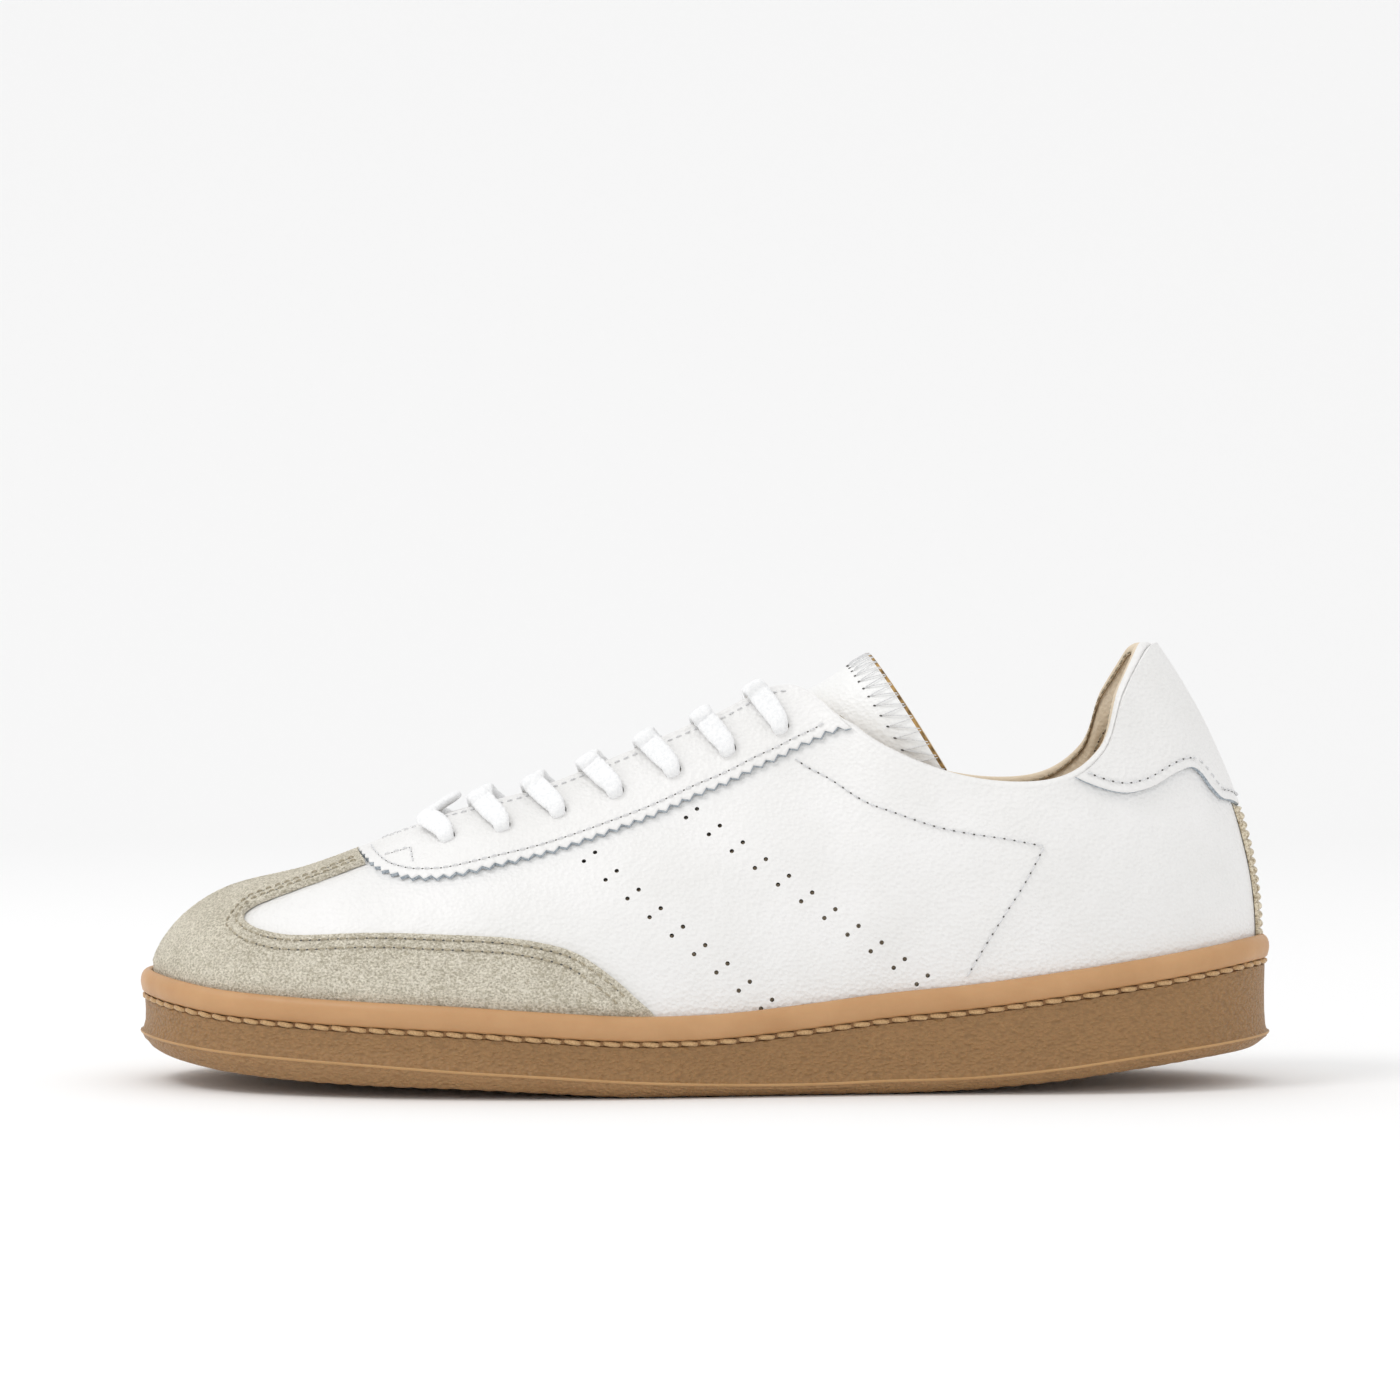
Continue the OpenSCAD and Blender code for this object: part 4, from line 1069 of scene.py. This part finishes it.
def build_binding():
    """Folded leather edging along the topline, from one throat corner round the heel to the other."""
    s = np.linspace(CORNER + 0.5, HEEL, 150)
    top, before = skin(s, 1.0), skin(s, 0.96)
    up, n = unit(top - before), skin_normal(s, 1.0)
    # Its section, over the edge from outside to inside: outwards and up from the skin's top edge.
    fold = [(-0.5, -0.5), (-0.12, 0.1), (-0.35, 1.2), (-1.7, 2.1), (-3.3, 1.9), (-4.0, 1.0), (-4, 0.25)]
    outline = along(np.array(fold), np.linspace(0, len(fold) - 1, 17))
    rings = []
    # It starts thin at the throat corner, where it comes out from behind the eyestay.
    full = 0.25 + 0.75 * smooth(s, s[0], s[0] + 0.3)[:, None]
    lean = -0.5 * (1 - smooth(s, s[0], s[0] + 0.3))[:, None]
    for side in SIDES.values():
        half = np.stack([place(side, top + n * (c[0] + lean) + up * c[1] * full) for c in outline], 1)
        rings.append(half if side == LATERAL else half[::-1][1:])
    points = np.concatenate(rings)
    sides = len(outline)
    faces = tube_faces(len(points), sides)
    white_strips = 8
    slots = [0 if f[0] % sides < white_strips else 1 for f in faces]
    obj = make_object("collar_edging", points.reshape(-1, 3), faces, [WHITE_LEATHER, EDGING_LEATHER], slots)
    finish_piece(obj, "shoe", "tan_leather", "collar_binding")
    for word, side in SIDES.items():
        line = place(side, top - n * 3.95 + up * 0.8)
        away = -n * [1, -side, 1]
        stitches(f"edging_seam_{word}", line, away, 2.6, 0.7, 0.4, SUEDE_THREAD, "shoe", "tan_leather")


build_binding()

# ---- padding ------------------------------------------------------------------------------------

def inflate(obj, voxel, cap, pressure=4.0, frames=20):
    """Swells a closed pad with a short cloth simulation; no point moves further than cap, in millimetres."""
    remesh = obj.modifiers.new("remesh", "REMESH")
    remesh.mode = "VOXEL"
    remesh.voxel_size = voxel * MM
    apply_modifiers(obj)
    before = np.zeros(len(obj.data.vertices) * 3)
    obj.data.vertices.foreach_get("co", before)
    cloth = obj.modifiers.new("cloth", "CLOTH")
    cloth.settings.use_pressure = True
    cloth.settings.uniform_pressure_force = pressure
    cloth.settings.effector_weights.gravity = 0
    cloth.point_cache.frame_end = frames
    for number in range(1, frames + 1):
        bpy.context.scene.frame_set(number)
    apply_modifiers(obj)
    bpy.context.scene.frame_set(1)
    after = np.zeros(len(before))
    obj.data.vertices.foreach_get("co", after)
    move = (after - before).reshape(-1, 3)
    far = np.linalg.norm(move, axis=1, keepdims=True)
    move *= np.minimum(1, cap * MM / np.maximum(far, 1e-9))
    obj.data.vertices.foreach_set("co", before + move.reshape(-1))
    relax = obj.modifiers.new("relax", "SMOOTH")
    relax.factor = 0.5
    relax.iterations = 4
    finer = obj.modifiers.new("finer", "SUBSURF")
    finer.levels = 1
    apply_modifiers(obj)
    obj.data.shade_smooth()


def build_collar_pad(side, word):
    s, v = grid(np.linspace(11.5, HEEL - 0.5, 64), np.linspace(0.76, 0.985, 18))
    under = -LEATHER_T - SLACK - 0.25
    low = np.minimum(lining_out(s, v) + 0.55, under - 0.5)
    sheet = Sheet()
    sheet.add_layer(side, s, v, under + 0 * s, low)
    obj = sheet.build(f"collar_pad_{word}", [EVA])
    inflate(obj, 1.2, 0.2)
    finish_piece(obj, "shoe", "foam", f"collar_foam_{word}")


for word, side in SIDES.items():
    build_collar_pad(side, word)

FOOTBED_INSET = 5.6
# Heights of the footbed's foam and of its leather cover, down from the sole's lip.
PAD_LOW, PAD_HIGH, COVER_LOW, COVER_HIGH = 5.7, 2.4, 1.77, 0.77


def floor_grid(inset_by, across, trim=0.06):
    """Points from side to side over the footbed, in plan."""
    ribs = np.linspace(trim, HEEL - trim, 180)
    a = place(LATERAL, edge_point(ribs, -inset_by, station(ribs)[:, 2]))
    b = place(MEDIAL, edge_point(ribs, -inset_by, station(ribs)[:, 2]))
    w = np.linspace(0, 1, across + 1)
    return a[:, None] * (1 - w)[None, :, None] + b[:, None] * w[None, :, None]


def build_footbed():
    foam_top = floor_grid(FOOTBED_INSET + 0.6, 24, 0.2)
    low, high = foam_top.copy(), foam_top.copy()
    low[..., 2] -= PAD_LOW
    high[..., 2] -= PAD_HIGH
    sheet = Sheet()
    sheet.add(high, low, flipped=False)
    pad = sheet.build("footbed_pad", [EVA])
    inflate(pad, 2.0, 0.3)
    finish_piece(pad, "shoe", "foam", "footbed_foam")
    top = floor_grid(FOOTBED_INSET, 64)
    w = np.linspace(-1, 1, 65)[None]
    x, y = top[..., 0], top[..., 1]
    dish = 0.35 * (1 - w ** 2) * smooth(x, 40, 90)
    toe_marks = 0.12 * np.sin(x * 0.19 + 1.3 * np.sin(y * 0.13)) * (1 - w ** 4)
    high, low = top.copy(), top.copy()
    high[..., 2] += toe_marks - dish - COVER_HIGH
    low[..., 2] -= COVER_LOW
    sheet = Sheet()
    sheet.add(high, low, flipped=False)
    cover = sheet.build("footbed_leather", [TAN_LEATHER])
    finish_piece(cover, "shoe", "tan_leather", "footbed_cover")
    ribs = np.linspace(5, HEEL - 0.1, 240)
    half = edge_point(ribs, -FOOTBED_INSET - 2.2, station(ribs)[:, 2] - 0.85)
    ring = np.concatenate([place(LATERAL, half), place(MEDIAL, half)[::-1]])
    normals = np.tile([0, 0, 1.0], (len(ring), 1))
    stitches("footbed_seam", ring, normals, 3.0, 0.7, 0.5, SUEDE_THREAD, "shoe", "tan_leather")


build_footbed()

# ---- the tongue ---------------------------------------------------------------------------------

# Crown line and arch of the tongue, front to top: x, z, half width, drop, half angle. The arch is wider
# than the part's, as soft leather lies against the lining and closes the throat.
TONGUE = np.array([
    [-81, 54, 13, 14, 60],
    [-62, 62, 21, 26, 66],
    [-41, 69.3, 25, 32, 64],
    [-20, 77.6, 23, 36, 62],
    [1, 87.4, 20, 37, 62],
    [22, 99.6, 17.5, 38, 63],
    [43.5, 112.6, 24, 36, 90],
], float)
TOP = len(TONGUE) - 1
ROOT = -0.5                 # the tongue runs on forwards under the vamp, where it is sewn in
TONGUE_LEATHER_T, TONGUE_PAD, TONGUE_LINING_T = 1.1, 2.4, 0.8


def tongue_skin(a, b):
    """Upper surface of the tongue: a from root to top, b across it from -1 to 1."""
    a, b = np.broadcast_arrays(np.asarray(a, float), np.asarray(b, float))
    k = along(TONGUE, a)
    ahead = along(TONGUE, np.minimum(a + 0.02, TOP)) - along(TONGUE, np.maximum(a - 0.02, ROOT))
    zero = 0 * a
    run = unit(np.stack([ahead[..., 0], zero, ahead[..., 1]], -1))
    down = np.stack([run[..., 2], zero, -run[..., 0]], -1)
    angle = np.radians(b * k[..., 4])
    base = np.stack([k[..., 0], -k[..., 2] * np.sin(angle), k[..., 1]], -1)
    return base + down * (k[..., 3] * (1 - np.cos(angle)))[..., None]


def tongue_normal(a, b):
    da = tongue_skin(np.minimum(a + 0.02, TOP), b) - tongue_skin(np.maximum(a - 0.02, ROOT), b)
    db = tongue_skin(a, b + 0.02) - tongue_skin(a, b - 0.02)
    return unit(np.cross(db, da))


def tongue_layer(a, b, d=0.0):
    p = tongue_skin(a, b) + tongue_normal(a, b) * np.asarray(d, float)[..., None]
    p[..., 1] += turn(p[..., 0])
    return p


def build_tongue_leather():
    """Upper leather, softly uneven under the laces, with a raw edge along its top."""
    rows = np.concatenate([np.linspace(ROOT, TOP - 0.05, 124), TOP - np.array([0.04, 0.03, 0.015, 0])])
    a, b = grid(rows, np.linspace(-1, 1, 57))
    under_laces = smooth(a, 0.8, 1.4) * (1 - smooth(a, 4.8, 5.4))
    soft = 0.25 * np.sin(a * 9.1 + 2 * b) * (1 - b ** 2) * under_laces
    soft += 0.12 * np.sin(a * 21 + 7 * b) * np.sin(b * 9 + a) * (1 - b ** 4)
    rim = 0.12 * smooth(a, TOP - 0.05, TOP) + 0.3 * smooth(np.abs(b), 0.97, 1)
    sheet = Sheet()
    top_strip = (a > TOP - 0.032)[:-1, :-1].astype(int)
    high = -0.15 - rim + soft * 0.6 - 0.3 * smooth(a, TOP - 0.05, TOP - 0.035)
    sheet.add(tongue_layer(a, b, high), tongue_layer(a, b, 0 * a - TONGUE_LEATHER_T), True, slots=top_strip)
    obj = sheet.build("tongue_upper", [TONGUE_LEATHER, RAW_EDGE], edge_slot=1)
    finish_piece(obj, "tongue", "white_leather", "tongue_leather")


def build_tongue_padding():
    a, b = grid(np.linspace(0.6, TOP - 0.6, 60), np.linspace(-0.72, 0.72, 26))
    sheet = Sheet()
    high = 0 * a - TONGUE_LEATHER_T - 0.35
    sheet.add(tongue_layer(a, b, high), tongue_layer(a, b, high - TONGUE_PAD + 0.75), True)
    obj = sheet.build("tongue_padding", [EVA])
    inflate(obj, 1.2, 0.2)
    finish_piece(obj, "tongue", "foam", "tongue_foam")


def build_tongue_lining():
    """Lining over the padding, sewn down flat round its edge."""
    a, b = grid(np.linspace(0, TOP, 101), np.linspace(-1, 1, 49))
    padded = np.minimum(smooth(a, 0.1, 0.5), 1 - smooth(a, TOP - 0.5, TOP - 0.12))
    padded = np.minimum(padded, 1 - smooth(np.abs(b), 0.78, 0.93))
    high = -TONGUE_LEATHER_T - SLACK - TONGUE_PAD * (0.06 + 0.94 * padded)
    wrinkle = 0.15 * np.sin(a * 14 + 3 * np.sin(4 * b)) * padded
    sheet = Sheet()
    sheet.add(tongue_layer(a, b, high), tongue_layer(a, b, high - TONGUE_LINING_T + 0.15 + wrinkle), True)
    obj = sheet.build("tongue_lining_leather", [TAN_LEATHER])
    finish_piece(obj, "tongue", "tan_leather", "tongue_lining")


def build_zigzag():
    """Zigzag stitches over the tongue's top edge: two long threads fan out from each needle hole."""
    count, depth, edge, fan, thick = 27, 0.26, 0.004, 0.42, 0.27
    holes, pitch = np.linspace(-0.96, 0.96, count, retstep=True)
    rings, sides, spots = 9, 6, 8
    t = np.linspace(0, 1, rings)
    lift = 0.34 - 0.5 * np.abs(2 * t - 1) ** 6
    angle = np.linspace(0, 2 * math.pi, spots, endpoint=False)
    points, faces, slots = [], [], []
    for hole in holes:
        for way in (-fan, fan):
            a, b = TOP - depth + (depth - edge) * t, hole + way * pitch * t
            line = tongue_layer(a, b, lift)
            _, across, up = frames_of(line, tongue_normal(a, b))
            faces += tube_faces(rings, sides, len(points))
            slots += [0] * ((rings - 1) * sides + 2)
            points += tube(line, across, up, sides, thick, thick).reshape(-1, 3).tolist()
        # A dark disc sunk in each needle hole: painted shade.
        hole_ring = (TOP - depth - 0.008 + 0.014 * np.cos(angle), hole + 0.006 * np.sin(angle))
        faces += tube_faces(2, spots, len(points))
        slots += [1] * (spots + 2)
        points += tongue_layer(*hole_ring, 0.06 + 0 * angle).tolist()
        points += tongue_layer(*hole_ring, -0.3 + 0 * angle).tolist()
    obj = make_object("tongue_zigzag", points, faces, [WHITE_THREAD, HOLE_SHADE], slots)
    finish_piece(obj, "tongue", "white_leather")


build_tongue_leather()
build_tongue_padding()
build_tongue_lining()
build_zigzag()

# ---- the lace -----------------------------------------------------------------------------------

LACE_D = 2.4
LACE_W, LACE_T = 5.8, 2.3
DRAWN_W, DRAWN_T = 3.0, 2.5     # where the lace is drawn together in an eyelet
LACE_OVER = OVERLAY_OUT + 0.4 + LACE_D / 2
LACE_UNDER = -(LEATHER_T + 2 * SLACK + BACKING_T + LINING_T) - 0.5 - LACE_D / 2
# The tucked end: station, height on the rib, and distance from the lining.
TUCK = [
    (9.9, 0.7, 0.7), (10, 0.56, 0.8), (10.1, 0.42, 0.9), (10.3, 0.28, 1.2), (10.6, 0.17, 1.2),
    (11, 0.11, 1.2), (11.5, 0.1, 1.2), (12, 0.1, 2), (12.5, 0.1, 3.5), (13, 0.1, 6),
]


def crown(x):
    """Height of the tongue's crown."""
    a = np.linspace(0, TOP, 1201)
    line = along(TONGUE, a)
    return np.interp(x, line[:, 0], line[:, 1])


def turn_in(side, k):
    """Down into an eyelet: position, and how far the lace is drawn together there."""
    steps = (
        (0.95, LACE_OVER + 0.9, 0, -0.2), (0.87, LACE_OVER + 0.5, 0, -0.1),
        (0.815, LACE_OVER + 0.3, 0.25, -0.02), (0.785, LACE_OVER - 0.9, 0.7, 0), (0.795, -1, 1, 0),
    )
    return [(layer(side, eyelet_s(k) + back, v, d), pinch) for v, d, pinch, back in steps]


def turn_out(side, k):
    steps = ((0.8, LACE_UNDER + 1.6, 1), (0.818, LACE_UNDER, 0.8), (0.86, LACE_UNDER, 0.4))
    return [(layer(side, eyelet_s(k) + 1.8 * (v - 0.8), v, d), pinch) for v, d, pinch in steps]


def crossing(side, k, lift):
    """From under one facing, over the tongue and the other facing, and down into the next eyelet."""
    p = layer(side, eyelet_s(k), EYELET_V, LACE_UNDER)
    q = layer(-side, eyelet_s(k + 1), EYELET_V, LACE_OVER)
    x = (p[0] + q[0]) / 2
    return [
        *turn_out(side, k),
        (place(side, [x - 3, 7, crown(x - 3) + lift / 2 + 0.4]), 0.1),
        (np.array([x, turn(x), crown(x) + LACE_D / 2 + 1.3 + lift]), 0),
        (layer(-side, eyelet_s(k + 1) - 0.26, 1.0, LACE_OVER + 1.5), 0),
        *turn_in(-side, k + 1),
    ]


def tucked(side):
    first = [(layer(side, 9.8, 0.8, LACE_UNDER + 1.6), 1), (layer(side, 9.83, 0.775, LACE_UNDER - 0.3), 0.9)]
    rest = []
    for s, v, off in TUCK:
        inner = lining_out(np.array(s), np.array(v)) - LINING_T
        rest.append((layer(side, s, v, inner - off - LACE_D / 2), 0.75))
    return first + rest


def chain(side, k):
    """The lace from one eyelet on, crossing to and fro up to the last pair; one end passes over the other."""
    if k == EYELETS - 1:
        return tucked(side)
    return crossing(side, k, 0.2 if side == LATERAL else 3.2) + chain(-side, k + 1)


def lace_route():
    """The whole lace: up from the bar at the front, one half each way."""
    bar_x, bar_z = -66.5, 71 + LACE_OVER
    top = (np.array([bar_x, turn(bar_x), bar_z]), 0)
    bar = [*turn_in(MEDIAL, 0)[::-1], top, *turn_in(LATERAL, 0)]
    route = chain(MEDIAL, 0)[::-1] + bar + chain(LATERAL, 0)
    return np.array([p for p, _ in route]), np.array([pinch for _, pinch in route], float)


def build_lace():
    """One flat braided lace, drawn together where it passes an eyelet."""
    route, pinch = lace_route()
    step, sides, braid_pitch, braid_depth = 0.55, 20, 2.0, 0.3
    coarse = np.linspace(0, len(route) - 1, len(route) * 24)
    line = along(route, coarse)
    run = np.concatenate([[0], np.cumsum(np.linalg.norm(np.diff(line, axis=0), axis=1))])
    t = np.linspace(0, run[-1], int(run[-1] / step))
    line = np.stack([np.interp(t, run, line[:, k]) for k in range(3)], -1)
    at = np.interp(t, run, coarse)
    squeeze = np.interp(at, np.arange(len(pinch)), pinch)
    # Its flat side lies along the throat in the crossings and against the lining at the tucked ends.
    along_throat, upright = np.array([0.85, 0, 0.5]), np.array([-0.35, 0, 1.0])
    blend = np.clip((len(TUCK) + 0.5 - np.minimum(at, at[::-1])) / 5, 0, 1)[:, None]
    ref = along_throat * (1 - blend) + upright * blend
    direction, across, _ = frames_of(line, ref)
    for _ in range(6):
        across[1:-1] = unit(across[:-2] + 2 * across[1:-1] + across[2:])
    up = unit(np.cross(direction, across))
    width = LACE_W * (1 - squeeze) + DRAWN_W * squeeze
    thick = LACE_T * (1 - squeeze) + DRAWN_T * squeeze
    rings = tube(line, across, up, sides, width, thick, 2.4)
    angle = np.linspace(0, 2 * math.pi, sides, endpoint=False)
    braid = np.abs(np.sin(t[:, None] * math.pi / braid_pitch + np.abs(np.sin(angle))[None] * 3)) - 0.5
    outwards = unit(rings - line[:, None])
    rings = rings + outwards * (braid_depth * braid)[..., None]
    obj = make_object("lace_braid", rings.reshape(-1, 3), tube_faces(len(t), sides), [LACE])
    finish_piece(obj, "shoe", "lace_cotton", "lace")
    return line


def build_aglets(line):
    """Tipped ends of the lace: a crimped clear sleeve that tapers at its far end."""
    points, faces, sides, rings, length = [], [], 18, 13, 19.9
    t = np.linspace(0, 1, rings)
    crimped = 1.0 - 0.06 * (np.abs(t - 0.2) < 0.06)
    d = LACE_D * np.where(t > 0.9, 0.72, np.where(t < 0.05, 0.9, crimped))
    for tip, inner in ((line[0], line[2]), (line[-1], line[-3])):
        sleeve = tip + np.outer(t * length, unit(tip - inner))
        _, across, up = frames_of(sleeve, np.tile([0.1, 0.2, 1.0], (rings, 1)))
        faces += tube_faces(rings, sides, len(points))
        points += tube(sleeve, across, up, sides, d, d).reshape(-1, 3).tolist()
    obj = make_object("lace_tips", points, faces, [LACE_TIP])
    finish_piece(obj, "shoe", "lace_tip", "aglets")


build_aglets(build_lace())

# ---- CAD pieces that stay as they are: stiffeners and boards inside the shoe --------------------

INNER = {
    "midsole_wedge": EVA, "insole_board": BOARD, "toe_puff": TEXTILE, "heel_counter": BOARD,
    "eyestay_backing_lateral": TEXTILE, "eyestay_backing_medial": TEXTILE,
}
for node, material in INNER.items():
    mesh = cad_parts[node].data
    mesh.materials.clear()
    mesh.materials.append(material)

# ---- floor, light and camera --------------------------------------------------------------------

def build_floor():
    """A pale sweep: flat floor, rising in a wide curve far behind the shoe."""
    front, bend, radius, half, top = -4.0, 1.6, 1.2, 6.0, 1.7
    angle = np.linspace(0, math.pi / 2, 32)
    outline = [(front, 0.0)] + [(bend + radius * math.sin(a), radius * (1 - math.cos(a))) for a in angle]
    outline.append((bend + radius, top))
    points = [(x / MM, y / MM, z / MM) for y, z in outline for x in (-half, half)]
    faces = [[2 * k, 2 * k + 1, 2 * k + 3, 2 * k + 2] for k in range(len(outline) - 1)]
    paper = plain("pale_paper", 0.9, (0.95, 0.95, 0.95, 1), Specular_IOR_Level=0.1)
    make_object("floor", points, faces, [paper])


def build_light():
    """One soft key light from the front left; the pale world fills in the rest."""
    data = bpy.data.lights.new("key", "AREA")
    data.shape = "DISK"
    data.size = 0.6
    data.energy = 6
    light = bpy.data.objects.new("key", data)
    light.location = (-0.9, -0.5, 1.4)
    way = np.array([0, 0, 0.05]) - np.array(light.location)
    tilt = math.atan2(math.hypot(way[0], way[1]), -way[2])
    light.rotation_euler = (tilt, 0, math.atan2(way[1], way[0]) - math.pi / 2)
    bpy.context.scene.collection.objects.link(light)
    world = bpy.data.worlds.new("studio")
    world.use_nodes = True
    world.node_tree.nodes["Background"].inputs["Color"].default_value = (1, 1, 1, 1)
    world.node_tree.nodes["Background"].inputs["Strength"].default_value = 0.95
    bpy.context.scene.world = world
    bpy.context.scene.view_settings.view_transform = "Standard"


def build_camera():
    """The photograph's side view, level with the top of the laces."""
    lens = bpy.data.cameras.new("camera")
    lens.lens = 92.8
    lens.sensor_width = 36
    camera = bpy.data.objects.new("camera", lens)
    camera.location = (-0.001, -0.950, 0.100)
    camera.rotation_euler = (math.pi / 2, 0, 0)
    bpy.context.scene.collection.objects.link(camera)
    bpy.context.scene.camera = camera


build_floor()
build_light()
build_camera()
